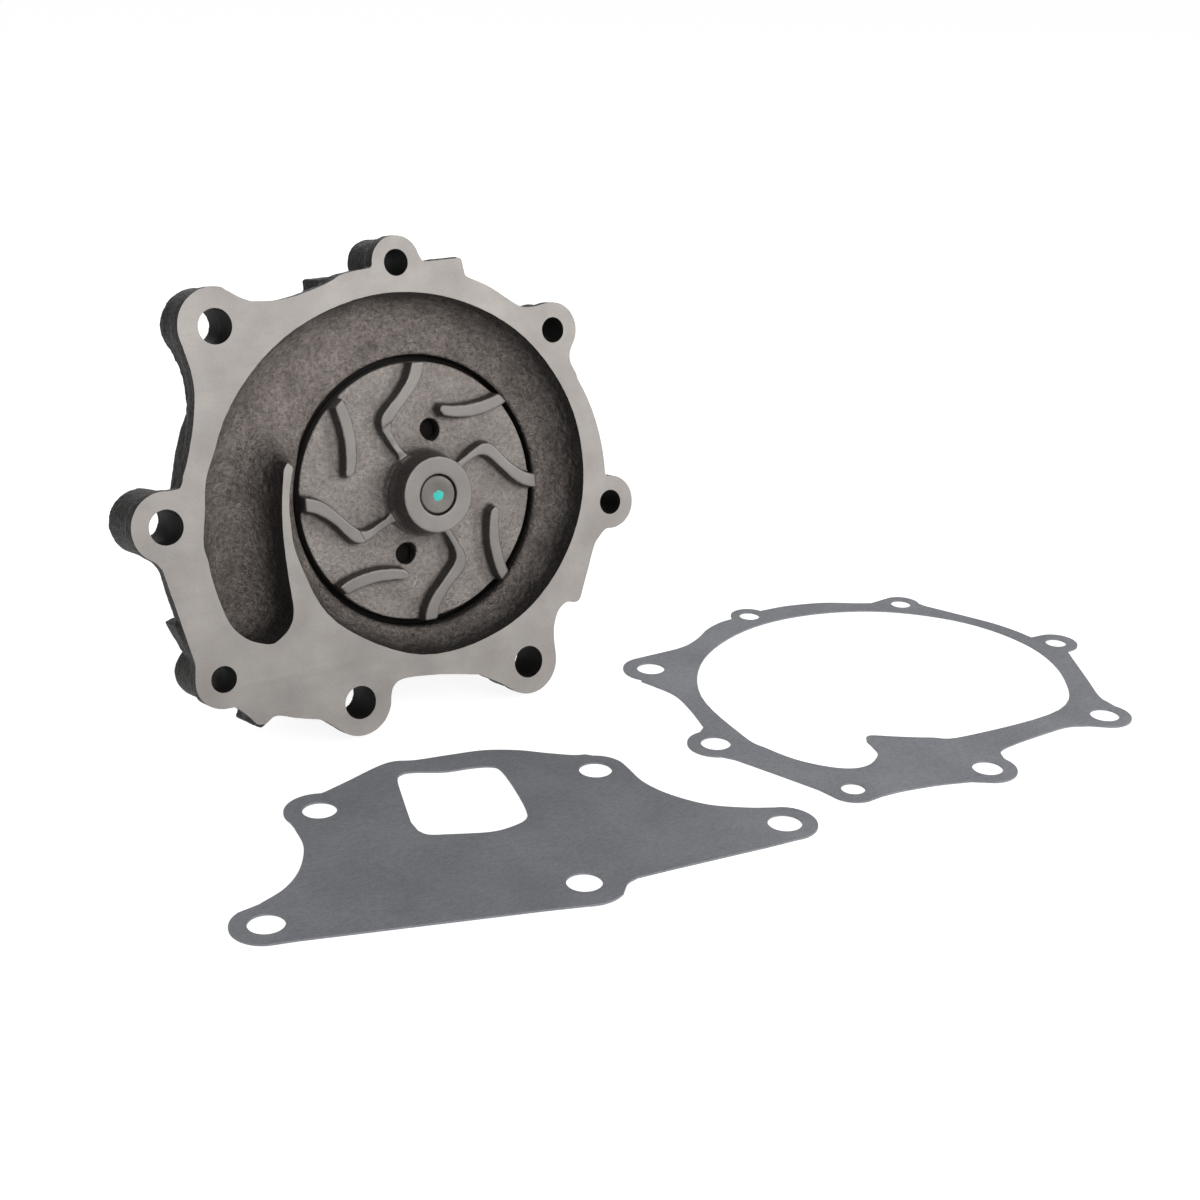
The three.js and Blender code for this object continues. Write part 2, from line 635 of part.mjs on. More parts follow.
function carbonRing() {
  return sealPiece([[0.85, 0.2], [3.45, 0.2], [3.45, 1.3], [5.25, 1.3], [5.25, 3.9], [0.85, 3.9]], 32);
}

function ceramicSeat() {
  return sealPiece([[0.65, -3.7], [4.25, -3.7], [4.25, -0.2], [0.65, -0.2]], 32);
}

function seatCup() {
  return sealPiece([[0.65, -4.9], [5.45, -4.9], [5.45, -0.7], [4.65, -0.7], [4.65, -4.1], [0.65, -4.1]], 32);
}

// The slinger throws leaked water off the shaft before it reaches the bearing.
function slinger() {
  const front = BEARING_FRONT - 9.1;
  const bore = SHAFT_END_R + FIT;
  return turned([
    [bore, front + 0.8], [bore + 1.75, front + 0.8], [bore + 5.15, front], [bore + 5.15, front + 1],
    [bore + 1.75, front + 2.2], [bore, front + 2.2],
  ], 28);
}

// ---------------------------------------------------------------- pulley

function pulley() {
  const middle = (PULLEY_FRONT + PULLEY_REAR) / 2;
  const mouth = GROOVE_WIDTH / 2;
  const floor = mouth - GROOVE_DEPTH * Math.tan(GROOVE_HALF_ANGLE);
  const floorR = PULLEY_R - GROOVE_DEPTH;
  const bore = SHAFT_END_R + FIT;
  let made = turned([
    [RIM_INNER_R, PULLEY_FRONT], [PULLEY_R - 1, PULLEY_FRONT], [PULLEY_R, PULLEY_FRONT + 1],
    [PULLEY_R, middle - mouth], [floorR, middle - floor], [floorR, middle + floor],
    [PULLEY_R, middle + mouth], [PULLEY_R, PULLEY_REAR], [HAT_R + 3, PULLEY_REAR],
    [HAT_R, PULLEY_REAR + 3], [HAT_R, HAT_REAR - 1], [HAT_R - 1, HAT_REAR], [bore, HAT_REAR],
    [bore, PULLEY_HUB_FRONT], [HUB_R, PULLEY_HUB_FRONT], [HUB_R, HAT_REAR - 7], [HAT_INNER_R, HAT_REAR - 7],
    [HAT_INNER_R, PULLEY_REAR - 7], [RIM_INNER_R - 3, PULLEY_REAR - 7], [RIM_INNER_R, PULLEY_REAR - 10],
  ], 64);
  for (let i = 0; i < 4; i += 1) {
    const angle = Math.PI / 4 + (i * Math.PI) / 2;
    const [x, y] = [FAN_BOLT_CIRCLE_R * Math.cos(angle), FAN_BOLT_CIRCLE_R * Math.sin(angle)];
    made = made.subtract(cylinder(FAN_BOLT_R, HAT_REAR - 15, HAT_REAR + 5, x, y, 12));
  }
  return made;
}

// ---------------------------------------------------------------- gaskets

function sheet(outline, holes, opening) {
  let made = extruded(outline, -GASKET_T, 0).subtract(extruded(opening, -2, 1));
  for (const [x, y, radius] of holes) made = made.subtract(cylinder(radius, -2, 1, x, y, 20));
  return made;
}

function voluteGasket() {
  const holes = LUGS.map((lug) => [lug.x, lug.y, lug.hole * GASKET_HOLE_SHARE]);
  return sheet(voluteGasketOutline(), holes, voluteGasketOpening());
}

function plateGasket() {
  const holes = PLATE_HOLES.map(([x, y]) => [x, y, PLATE_HOLE_R]);
  return sheet(plateGasketOutline(), holes, plateGasketWindow());
}

// ---------------------------------------------------------------- assembly

function named(name, shape, look) {
  const geometry = shape.isBufferGeometry ? shape : geometryOf(shape);
  const mesh = new THREE.Mesh(geometry, look);
  mesh.name = name;
  return mesh;
}

function waterPump() {
  const pump = new THREE.Group();
  pump.rotation.x = Math.PI / 2 - LEAN;
  pump.position.z = AXIS_HEIGHT;
  pump.add(named("housing", housing(), castIron()));
  pump.add(named("impeller", impeller(), castIron()));
  pump.add(named("shaft", shaft(), steel()));
  pump.add(named("bearing_ring", bearingRing(), steel()));
  pump.add(named("bearing_seal_front", bearingSeal(BEARING_FRONT + 0.5), rubber()));
  pump.add(named("bearing_seal_rear", bearingSeal(BEARING_REAR - 2.7), rubber()));
  BALL_ROWS.forEach((depth, row) => {
    const side = row === 0 ? "front" : "rear";
    pump.add(named("cage_" + side, cage(row), nylon()));
    for (let i = 0; i < BALL_COUNT; i += 1) {
      const mesh = named("ball_" + side + "_" + (i + 1), ball(), steel());
      mesh.position.set(...ballPlace(row, i));
      pump.add(mesh);
    }
  });
  pump.add(named("slinger", slinger(), rubber()));
  pump.add(named("seal_cup", sealCup(), brass()));
  pump.add(named("seal_bellows", sealBellows(), rubber()));
  pump.add(named("seal_spring", sealSpring(), steel()));
  pump.add(named("seal_carbon_ring", carbonRing(), carbon()));
  pump.add(named("seal_ceramic_seat", ceramicSeat(), ceramic()));
  pump.add(named("seal_seat_cup", seatCup(), rubber()));
  pump.add(named("pulley", pulley(), castIron()));
  return pump;
}

function waterPumpWithGaskets() {
  const whole = new THREE.Group();
  whole.add(waterPump());
  const volute = named("volute_gasket", voluteGasket(), paper());
  volute.position.set(VOLUTE_GASKET_AT.x, VOLUTE_GASKET_AT.y, 0);
  volute.rotation.z = VOLUTE_GASKET_AT.turn;
  whole.add(volute);
  const plate = named("plate_gasket", plateGasket(), paper());
  plate.position.set(PLATE_GASKET_AT.x, PLATE_GASKET_AT.y, 0);
  whole.add(plate);
  // The origin is the middle of the ground under everything.
  const bounds = new THREE.Box3().setFromObject(whole, true);
  const middle = bounds.getCenter(new THREE.Vector3());
  whole.position.set(-middle.x, -middle.y, -bounds.min.z);
  return whole;
}

const part = new THREE.Group();
part.name = "water_pump";
part.add(waterPumpWithGaskets());

export default part;
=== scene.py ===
import json
import math

import bmesh
import bpy
import numpy as np
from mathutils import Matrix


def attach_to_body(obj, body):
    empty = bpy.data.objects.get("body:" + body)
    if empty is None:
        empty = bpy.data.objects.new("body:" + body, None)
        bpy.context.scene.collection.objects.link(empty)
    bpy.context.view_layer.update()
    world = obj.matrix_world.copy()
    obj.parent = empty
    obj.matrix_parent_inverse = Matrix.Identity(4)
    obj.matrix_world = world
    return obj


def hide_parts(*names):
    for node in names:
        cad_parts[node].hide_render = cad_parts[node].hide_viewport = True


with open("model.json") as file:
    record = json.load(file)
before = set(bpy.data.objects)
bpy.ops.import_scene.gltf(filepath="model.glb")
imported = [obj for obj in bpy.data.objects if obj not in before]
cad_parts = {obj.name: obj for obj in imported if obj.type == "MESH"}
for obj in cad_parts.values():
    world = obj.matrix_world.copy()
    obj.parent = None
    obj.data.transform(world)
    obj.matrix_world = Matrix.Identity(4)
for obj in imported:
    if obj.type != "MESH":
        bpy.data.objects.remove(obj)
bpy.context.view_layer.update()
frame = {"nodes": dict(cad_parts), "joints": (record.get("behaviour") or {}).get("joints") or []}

import openvdb
from mathutils import Matrix, Vector

# The looks of an engine coolant pump and its two paper gaskets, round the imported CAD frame.
# The castings are built as fields of signed distance, in millimetres in the pump's own frame, and
# then meshed: x runs right along the gasket face, y up it, z out of it, so the rear is at negative z.

MM = 0.001

# ---------------------------------------------------------------- where the pump is

shaft_turn = next(j for j in frame["joints"] if j["name"] == "shaft_turn")
OUT = Vector(shaft_turn["axis"]).normalized()
ACROSS = Vector((1, 0, 0))
UP_FACE = OUT.cross(ACROSS)
PUMP = Matrix.Translation(Vector(shaft_turn["pos_m"])) @ Matrix(
    (ACROSS, UP_FACE, OUT)
).transposed().to_4x4()

# ---------------------------------------------------------------- camera

CAMERA_FROM_AXIS = Vector((-347.96, -624.87, 243.75)) * MM
CAMERA_RIGHT = Vector((0.83090, -0.55594, 0.02337))
CAMERA_UP = Vector((0.18993, 0.32285, 0.92719))
CAMERA_BACK = CAMERA_RIGHT.cross(CAMERA_UP)

camera_data = bpy.data.cameras.new("camera")
camera_data.sensor_width = 36
camera_data.lens = 56.83
camera_data.clip_start = 0.01
camera = bpy.data.objects.new("camera", camera_data)
bpy.context.scene.collection.objects.link(camera)
camera.matrix_world = Matrix.Translation(PUMP.translation + CAMERA_FROM_AXIS) @ Matrix(
    (CAMERA_RIGHT, CAMERA_UP, CAMERA_BACK)
).transposed().to_4x4()
bpy.context.scene.camera = camera

# ---------------------------------------------------------------- sizes, as in the CAD

LUG_DEPTH = 21
FOOT_Y = -75.6
BIG, SMALL, TOP = 12.5, 10.2, 9.4
BIG_HOLE, SMALL_HOLE = 6.65, 5.15
LUGS = [
    (-83.8, 76.1, BIG, BIG_HOLE, LUG_DEPTH + 2.5),
    (-7.3, 91.9, TOP, SMALL_HOLE, LUG_DEPTH + 3),
    (60.3, 58.2, SMALL, SMALL_HOLE, LUG_DEPTH),
    (80.3, -16.2, SMALL, SMALL_HOLE, LUG_DEPTH),
    (33, FOOT_Y, BIG, BIG_HOLE, LUG_DEPTH),
    (-44.5, FOOT_Y, BIG, BIG_HOLE, LUG_DEPTH),
    (-98.9, -54.3, SMALL, SMALL_HOLE, LUG_DEPTH + 4),
    (-112.8, 6.2, BIG, BIG_HOLE, LUG_DEPTH + 6.5),
]
CAST_PADS = [
    ([(5.6, 80), (21, 80), (21, 90.6), (5.6, 90.6)], 14.7),
    ([(-37, 76), (-25, 76), (-25, 88.6), (-37, 88.6)], 23),
    ([(-113.4, -31), (-107.6, -45.5), (-98, -46), (-103, -28.6)], 16),
    ([(-91.2, -73), (-85.2, -77.4), (-79.5, -73), (-86, -62)], 15),
    ([(-96.2, 75), (-93.9, 65.3), (-84, 65.3), (-84, 75)], 19),
]
FLANGE_T = 6.5
CHAMBER_R = 54.8
CHAMBER_FLOOR = 24
BODY_REAR = 31
SNOUT_R, SNOUT_REAR = 25.5, 80
DISC_R, DISC_FRONT, DISC_REAR = 52.2, 17.9, 22.9
HUB_R = 15
VANE_TOP = 11.6
SHAFT_END_R = 7.95
SHAFT_R, SHAFT_REAR = 9.525, 96
BEARING_R, BEARING_FRONT = 19.35, 44
SEAL_BORE_R = 18.2
WAIST_R, WAIST_FRONT = 15, 34
DRAIN_R, DRAIN_DEPTH, DRAIN_LENGTH = 3, 39, 60
RIBS, RIB_HALF = 6, 2.6
PASSAGE_DEPTH, PASSAGE_ROUND = 18.6, 18.4
POCKET_X, POCKET_FOOT, POCKET_TOP = -81.9, -30.2, 15.8
POCKET_R, POCKET_DEPTH, POCKET_SLOPE = 14, 8.4, 0.07
PULLER_HOLE, PULLER_HOLE_R = (8.5, 24), 4.5
PULLEY_FRONT, PULLEY_REAR = 48, 72
PULLEY_R = 77.257
RIM_IN = PULLEY_R - 18.4
GROOVE_DEPTH, GROOVE_HALF_IN, GROOVE_HALF_OUT = 13, 3.77, 12.7
HAT_R, HAT_REAR = 34, 95
FAN_BOLTS, FAN_BOLT_CIRCLE_R, FAN_HOLE_R = 4, 22.2, 3.4
GASKET_T = 0.8
GASKET_HOLE_SHARE = 0.9
PLATE_HOLES = [(-45.7, 47.5), (58.9, 22), (94.8, -49.3), (8.8, -46.4), (-95, -14.1)]
PLATE_HOLE_R = 6.4
VOLUTE_GASKET_AT, VOLUTE_GASKET_TURN = (186.4, -83.3), 7.3
PLATE_GASKET_AT = (-39, -108)
PAINT_R = 2.15
CASTING_STEP = 0.75
IMPELLER_STEP = 0.45

# ---------------------------------------------------------------- outlines


def arc(x, y, radius, start, end, steps=16):
    angles = np.radians(np.linspace(start, end, steps + 1))
    return np.stack([x + radius * np.cos(angles), y + radius * np.sin(angles)], 1)


def smooth(corners, per=6):
    """Points of a Catmull-Rom curve through the corners."""
    p = np.array(corners, float)
    p = np.vstack([2 * p[0] - p[1], p, 2 * p[-1] - p[-2]])
    t = np.linspace(0, 1, per, endpoint=False)[:, None]
    out = []
    for a, b, c, d in zip(p, p[1:], p[2:], p[3:]):
        square = (2 * a - 5 * b + 4 * c - d) * t**2
        cube = (3 * b - a - 3 * c + d) * t**3
        out.append(0.5 * (2 * b + (c - a) * t + square + cube))
    return np.vstack(out + [p[-2:-1]])


def corners(*points):
    return np.array(points, float)


def flange_outline():
    return np.vstack([
        arc(-7.3, 91.9, TOP + 0.3, 184, 12),
        corners((4.4, 91), (21.4, 91), (22.4, 84)),
        smooth([(24, 83), (32, 79), (40, 73.4), (46.5, 69.2), (52, 68.4)]),
        arc(60.3, 58.2, 10.6, 96, -42),
        smooth([(67.2, 47.6), (67.4, 44), (69.6, 39.4)]),
        arc(0, 0, 79.2, 28, -2),
        arc(80.3, -16.2, 10.5, 96, -106),
        smooth([(74.5, -28.8), (70.5, -33), (66, -43), (61.5, -53)]),
        smooth([(60.4, -54.8), (58, -55.2), (54, -54.4), (49.6, -57.4), (46.9, -63.5),
                (46.2, -70)]),
        arc(33, FOOT_Y, BIG + 0.3, 5, -134),
        corners((9.5, -76)),
        smooth([(0, -73.8), (-10, -71.8), (-24, -70.2), (-29.4, -72), (-31.6, -75.6)]),
        arc(-44.5, FOOT_Y, BIG + 0.3, -12, -136),
        smooth([(-62, -78.6), (-72, -75.6), (-80, -72.9), (-84.8, -75.1)]),
        smooth([(-88, -74.6), (-92, -69.6), (-96, -65.6)]),
        arc(-98.9, -54.3, 10.9, -92, -176),
        corners((-109.2, -46), (-116.4, -9.5)),
        arc(-112.8, 6.2, 12.7, -118, -282),
        smooth([(-105.6, 19.4), (-101.6, 26.6), (-97, 40), (-94.5, 52), (-94.6, 61),
                (-95.9, 68)]),
        arc(-83.8, 76.1, 13.6, -158, -312),
        smooth([(-68.6, 83.6), (-58, 82.9), (-48, 84.2), (-37, 87), (-30, 89.8), (-18.6, 90.8)]),
    ])


SPIRAL = [(40, 65.6), (76, 64.2), (110, 63.5), (140, 65.1), (170, 67.9), (200, 70.6), (230, 73.5),
          (258, 77.3), (284, 83), (310, 89.7), (334, 95), (358, 98.6)]


def spiral(extra=0, start=0):
    points = []
    for angle, radius in SPIRAL[start:]:
        turn = math.radians(180 + angle)
        out = radius + extra
        points.append((out * math.cos(turn), out * math.sin(turn)))
    return points


def passage_outline():
    return np.vstack([
        smooth([(-60.4, 20.4), (-63.3, 10), (-64.2, 0), (-62.6, -16), *spiral(),
                (-98.6, -10), (-97, -21), (-93.4, -31), (-87, -40), (-79.5, -44.6), (-75, -43.9),
                (-70, -40), (-67.7, -34), (-68.4, -22), (-68.9, -8), (-67.6, 5), (-64.2, 20)]),
        corners((-62.4, 22.4)),
    ])


def body_outline():
    return smooth([*spiral(6), (-104.4, -12), (-102.6, -25), (-97, -38), (-88, -47.5), (-76, -51),
                   (-66, -50), (-58, -47)])


def long_vane():
    return np.vstack([
        smooth([(1, 52.6), (-1.6, 46.6), (-6.5, 40.6), (-11.8, 36.2), (-14.8, 33), (-15.6, 29.8),
                (-15, 27), (-12.5, 22), (-9, 15), (-7, 11)]),
        smooth([(-3.6, 11), (-6, 15.6), (-9, 21), (-11, 26), (-10.7, 29.4), (-9, 32), (-4, 36.9),
                (1.4, 42), (4.8, 47.2), (6.4, 52.6)]),
    ])


def short_vane():
    return np.vstack([
        smooth([(11, 31.4), (12.2, 33.4), (18, 32.6), (26, 32.3), (33, 33.2), (39.8, 34.8)]),
        smooth([(42.4, 31.4), (38, 29.4), (32, 28), (25, 27.4), (18, 28), (12.6, 29.4)]),
    ])


def volute_gasket_outline():
    return np.vstack([
        arc(-7.3, 91.9, 8.6, 168, 8),
        smooth([(4, 92.6), (16, 89.6), (32, 82), (44, 72), (50, 67.6)]),
        arc(60.3, 58.2, 8.8, 92, -36),
        smooth([(67.6, 49), (71.6, 34), (76, 16), (77, 3), (76.4, -5.5)]),
        arc(80.3, -16.2, 9.6, 78, -112),
        smooth([(72, -31), (58, -49), (47, -63), (44.6, -70)]),
        arc(33, FOOT_Y, 11, 12, -142),
        smooth([(20, -77.6), (12, -72.6), (0, -70.6), (-18, -68.8), (-28, -69.4), (-32.4, -74)]),
        arc(-44.5, FOOT_Y, 11.6, 0, -128),
        smooth([(-58, -78.6), (-70, -72.6), (-84, -67.4), (-94, -65)]),
        arc(-98.9, -54.3, 10.4, -102, -188),
        smooth([(-109.4, -46), (-113, -26), (-116.4, -8.6)]),
        arc(-112.8, 6.2, 11.4, -122, -280),
        smooth([(-106, 20), (-98.6, 36), (-94, 50), (-94.6, 62), (-95.6, 69)]),
        arc(-83.8, 76.1, 12, -152, -278),
        smooth([(-76, 87), (-58, 84.6), (-46, 87), (-34, 92.4), (-24, 94.6), (-16.6, 94.4)]),
    ])


def volute_gasket_opening():
    return smooth([(-61, -27.4), (-58, -28), (-51, -35), (-41, -44), (-29, -52), *spiral(1, 2),
                   (-100, -10), (-98, -24), (-92.6, -36), (-86, -43), (-78, -44.6), (-69, -40.6),
                   (-65.6, -35), (-63.6, -30)])


def plate_gasket_outline():
    return np.vstack([
        arc(-45.7, 47.5, 13.2, 190, 62),
        smooth([(-37, 59.6), (-26, 63), (-12, 67.6), (-4, 68.4), (4, 65), (18, 62), (31, 58.6),
                (42, 52), (50, 44.4), (58, 37.4), (63, 35)]),
        arc(58.9, 22, 12.2, 62, -8),
        smooth([(70.4, 16), (69, 4), (71.6, -9), (79, -23), (90, -32.6), (99, -38)]),
        arc(94.8, -49.3, 12.2, 58, -106),
        corners((78, -59.6), (39, -54.4)),
        smooth([(26.6, -53), (21.6, -54.4), (17.6, -58)]),
        arc(8.8, -46.4, 15, -60, -118),
        corners((-12, -54.6), (-90, -28.4)),
        arc(-95, -14.1, 12.4, -104, -246),
        smooth([(-92, -1.6), (-80, 3.6), (-70, 13), (-62, 27), (-59, 41)]),
    ])


def plate_gasket_window():
    return smooth([(-22.4, 15), (-20.4, 10.6), (-13, 6.6), (-1, 1), (7, 0.2), (15, 2.2), (19.4, 9),
                   (24.6, 26), (27.8, 41), (26, 45.6), (19, 48.6), (9, 51), (-1, 56.6), (-6, 57.6),
                   (-10, 54), (-16, 38), (-21.6, 22)])


# ---------------------------------------------------------------- fields of signed distance


def outline_distance(x, y, points):
    """Distance on the grid of x by y to a closed outline, negative inside it."""
    px, py = np.meshgrid(x, y, indexing="ij")
    best = np.full(px.shape, 1e9, np.float32)
    inside = np.zeros(px.shape, bool)
    for (ax, ay), (bx, by) in zip(points, np.roll(points, -1, 0)):
        ex, ey = bx - ax, by - ay
        length = ex * ex + ey * ey
        if length < 1e-9:
            continue
        t = np.clip(((px - ax) * ex + (py - ay) * ey) / length, 0, 1)
        best = np.minimum(best, (px - ax - t * ex) ** 2 + (py - ay - t * ey) ** 2)
        rise = ey if abs(ey) > 1e-9 else 1e-9
        crosses = (ay > py) != (by > py)
        inside ^= crosses & (px < ax + (py - ay) * ex / rise)
    return (np.where(inside, -1, 1) * np.sqrt(best)).astype(np.float32)


class Field:
    """A box of space in the pump's frame with a grid of points, and the shapes drawn on it."""

    def __init__(self, low, high, step):
        self.low, self.step = np.array(low, np.float32), step
        counts = np.ceil((np.array(high) - low) / step).astype(int) + 1
        self.x, self.y, self.z = (
            (low[i] + step * np.arange(counts[i])).astype(np.float32) for i in range(3)
        )
        self.shape = tuple(counts)
        self.X, self.Y = self.x[:, None, None], self.y[None, :, None]
        self.Z = self.z[None, None, :]
        self.R = np.hypot(self.X, self.Y)

    def outline(self, points):
        """Distance in the plane of the face to a closed outline, negative inside it."""
        return outline_distance(self.x, self.y, points)[:, :, None]

    def through(self, flat, front, rear, rounding=0.0):
        """A flat distance drawn through the depths from front to rear, its edges rounded."""
        along = np.maximum(self.Z + front, -rear - self.Z) + rounding
        flat = flat + rounding
        outside = np.hypot(np.maximum(flat, 0), np.maximum(along, 0))
        return outside + np.minimum(np.maximum(flat, along), 0) - rounding

    def disc(self, radius, front, rear, x=0.0, y=0.0, rounding=0.0):
        return self.through(np.hypot(self.X - x, self.Y - y) - radius, front, rear, rounding)

    def turned(self, profile):
        """A solid of revolution about the axis from a closed profile of (radius, depth)."""
        fine = self.step / 2
        radii = np.arange(0, float(self.R.max()) + 2, fine, dtype=np.float32)
        table = outline_distance(radii, self.z, [(r, -depth) for r, depth in profile])
        at = self.R[:, :, 0] / fine
        low = at.astype(int)
        part = (at - low)[:, :, None]
        return table[low] * (1 - part) + table[low + 1] * part

    def nearest(self, points):
        """The grid's nearest indices to each of the points."""
        steps = np.round((points - self.low) / self.step).astype(int)
        return tuple(np.clip(steps, 0, np.array(self.shape) - 1).T)

    def mesh(self, values):
        """Points and quads of the surface where the values are zero."""
        band = 3 * self.step
        grid = openvdb.FloatGrid(band)
        grid.copyFromArray(np.clip(values, -band, band).astype(np.float32))
        points, quads = grid.convertToQuads(0)
        return points * self.step + self.low, quads[:, ::-1]


def blend(a, b, k):
    """Union with a fillet about k wide."""
    h = np.maximum(k - np.abs(a - b), 0) / k
    return np.minimum(a, b) - h * h * k * 0.25


def carve(a, b, k=0.0):
    """a without b, the edge softened by k."""
    return -blend(-a, b, k) if k else np.maximum(a, -b)


LATTICE = np.random.default_rng(5).uniform(-1, 1, (32, 32, 32)).astype(np.float32)


def noise(points, size):
    """Smooth noise from -1 to 1 at points, with lumps about size across."""
    at = points / size
    base = np.floor(at).astype(int)
    f = at - base
    f = f * f * (3 - 2 * f)
    total = 0
    for corner in range(8):
        bits = np.array([corner & 1, corner >> 1 & 1, corner >> 2 & 1])
        weight = np.prod(np.where(bits, f, 1 - f), axis=1)
        i, j, k = ((base + bits) % 32).T
        total = total + weight * LATTICE[i, j, k]
    return total


# ---------------------------------------------------------------- meshes


def new_object(name, points, faces, matrix, materials):
    mesh = bpy.data.meshes.new(name)
    faces = [list(map(int, f)) for f in faces]
    mesh.from_pydata((np.asarray(points) * MM).tolist(), [], faces)
    mesh.update()
    mesh.shade_smooth()
    obj = bpy.data.objects.new(name, mesh)
    bpy.context.scene.collection.objects.link(obj)
    obj.matrix_world = matrix
    for m in materials:
        mesh.materials.append(m)
    return obj


def attach(obj, body, slot, *nodes):
    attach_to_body(obj, body)
    if nodes:
        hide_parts(*nodes)
    return obj


def set_materials(obj, index_of_face):
    obj.data.polygons.foreach_set("material_index", index_of_face.astype(np.int32))


def centres_and_normals(obj):
    n = len(obj.data.polygons)
    centres, normals = np.empty(n * 3, np.float32), np.empty(n * 3, np.float32)
    obj.data.polygons.foreach_get("center", centres)
    obj.data.polygons.foreach_get("normal", normals)
    return centres.reshape(-1, 3) / MM, normals.reshape(-1, 3)


def vertex_normals(points, quads):
    corners_of = points[quads]
    across = np.cross(corners_of[:, 2] - corners_of[:, 0], corners_of[:, 3] - corners_of[:, 1])
    total = np.zeros_like(points)
    for k in range(4):
        np.add.at(total, quads[:, k], across)
    return total / np.maximum(np.linalg.norm(total, axis=1, keepdims=True), 1e-9)


def roughen(points, quads, cast, fine=0.16, coarse=0.16):
    """The points moved in and out as sand-cast iron is. cast is 0 to 1 by point."""
    amount = fine * noise(points, 1.7) + coarse * noise(points, 6)
    amount = amount + coarse * 0.7 * noise(points, 17)
    return points + vertex_normals(points, quads) * (amount * cast)[:, None]


def lathe(name, profile, matrix, materials, segments=96):
    """A turned piece from a closed profile of (radius, depth)."""
    p = np.array(profile, float)
    angles = np.linspace(0, 2 * math.pi, segments, endpoint=False)
    rings = np.stack([
        np.outer(np.cos(angles), p[:, 0]), np.outer(np.sin(angles), p[:, 0]),
        np.tile(-p[:, 1], (segments, 1)),
    ], -1)
    n = len(p)
    faces = []
    for s in range(segments):
        t = (s + 1) % segments
        for i in range(n):
            j = (i + 1) % n
            faces.append((s * n + i, s * n + j, t * n + j, t * n + i))
    obj = new_object(name, rings.reshape(-1, 3), faces, matrix, materials)
    bm = bmesh.new()
    bm.from_mesh(obj.data)
    bmesh.ops.remove_doubles(bm, verts=bm.verts, dist=1e-6)
    bmesh.ops.dissolve_degenerate(bm, edges=bm.edges, dist=1e-7)
    bmesh.ops.recalc_face_normals(bm, faces=bm.faces)
    for e in bm.edges:
        e.smooth = e.calc_face_angle(0) < math.radians(28)
    bm.to_mesh(obj.data)
    bm.free()
    return obj


def rounded(profile, radius=0.4, steps=3):
    """The profile with its corners rounded."""
    p = np.array(profile, float)
    out = []
    for before, here, after in zip(np.roll(p, 1, 0), p, np.roll(p, -1, 0)):
        if here[0] < 1e-6:
            out.append(here)
            continue
        a, b = before - here, after - here
        la, lb = np.linalg.norm(a), np.linalg.norm(b)
        cut = min(radius, la * 0.4, lb * 0.4)
        start, end = here + a / la * cut, here + b / lb * cut
        for t in np.linspace(0, 1, steps + 1):
            ends = (1 - t) ** 2 * start + t * t * end
            out.append(ends + 2 * t * (1 - t) * here)
    return out


# ---------------------------------------------------------------- materials


def material(name):
    m = bpy.data.materials.new(name)
    m.use_nodes = True
    tree = m.node_tree
    shader = tree.nodes["Principled BSDF"]

    def node(kind, **values):
        made = tree.nodes.new("ShaderNode" + kind)
        for key, value in values.items():
            if key in made.inputs.keys():
                made.inputs[key].default_value = value
            else:
                setattr(made, key, value)
        return made

    return m, tree, shader, node


def mapped(tree, node, scale=(1, 1, 1), rotation=(0, 0, 0)):
    place = node("TexCoord")
    turn = node("Mapping")
    turn.inputs["Scale"].default_value = scale
    turn.inputs["Rotation"].default_value = rotation
    tree.links.new(place.outputs["Object"], turn.inputs["Vector"])
    return turn.outputs["Vector"]


def noise_node(tree, node, vector, scale, detail=4, rough=0.6):
    made = node("TexNoise")
    made.inputs["Scale"].default_value = scale
    made.inputs["Detail"].default_value = detail
    made.inputs["Roughness"].default_value = rough
    tree.links.new(vector, made.inputs["Vector"])
    return made.outputs["Fac"]


def ramp(tree, node, value, stops):
    made = node("ValToRGB")
    while len(made.color_ramp.elements) < len(stops):
        made.color_ramp.elements.new(0.5)
    for element, (at, colour) in zip(made.color_ramp.elements, stops):
        element.position = at
        element.color = (*colour, 1) if len(colour) == 3 else colour
    tree.links.new(value, made.inputs["Fac"])
    return made.outputs["Color"]


def grey(v):
    return (v, v, v)


def mix(tree, node, factor, a, b, mode="MIX"):
    made = node("Mix", data_type="RGBA", blend_type=mode)
    for socket, value in ((made.inputs[0], factor), (made.inputs[6], a), (made.inputs[7], b)):
        if hasattr(value, "is_output"):
            tree.links.new(value, socket)
        elif isinstance(value, tuple):
            socket.default_value = (*value, 1)
        else:
            socket.default_value = value
    return made.outputs[2]


def bump(tree, node, height, strength, distance, under=None):
    made = node("Bump")
    made.inputs["Strength"].default_value = strength
    made.inputs["Distance"].default_value = distance
    tree.links.new(height, made.inputs["Height"])
    if under:
        tree.links.new(under, made.inputs["Normal"])
    return made.outputs["Normal"]


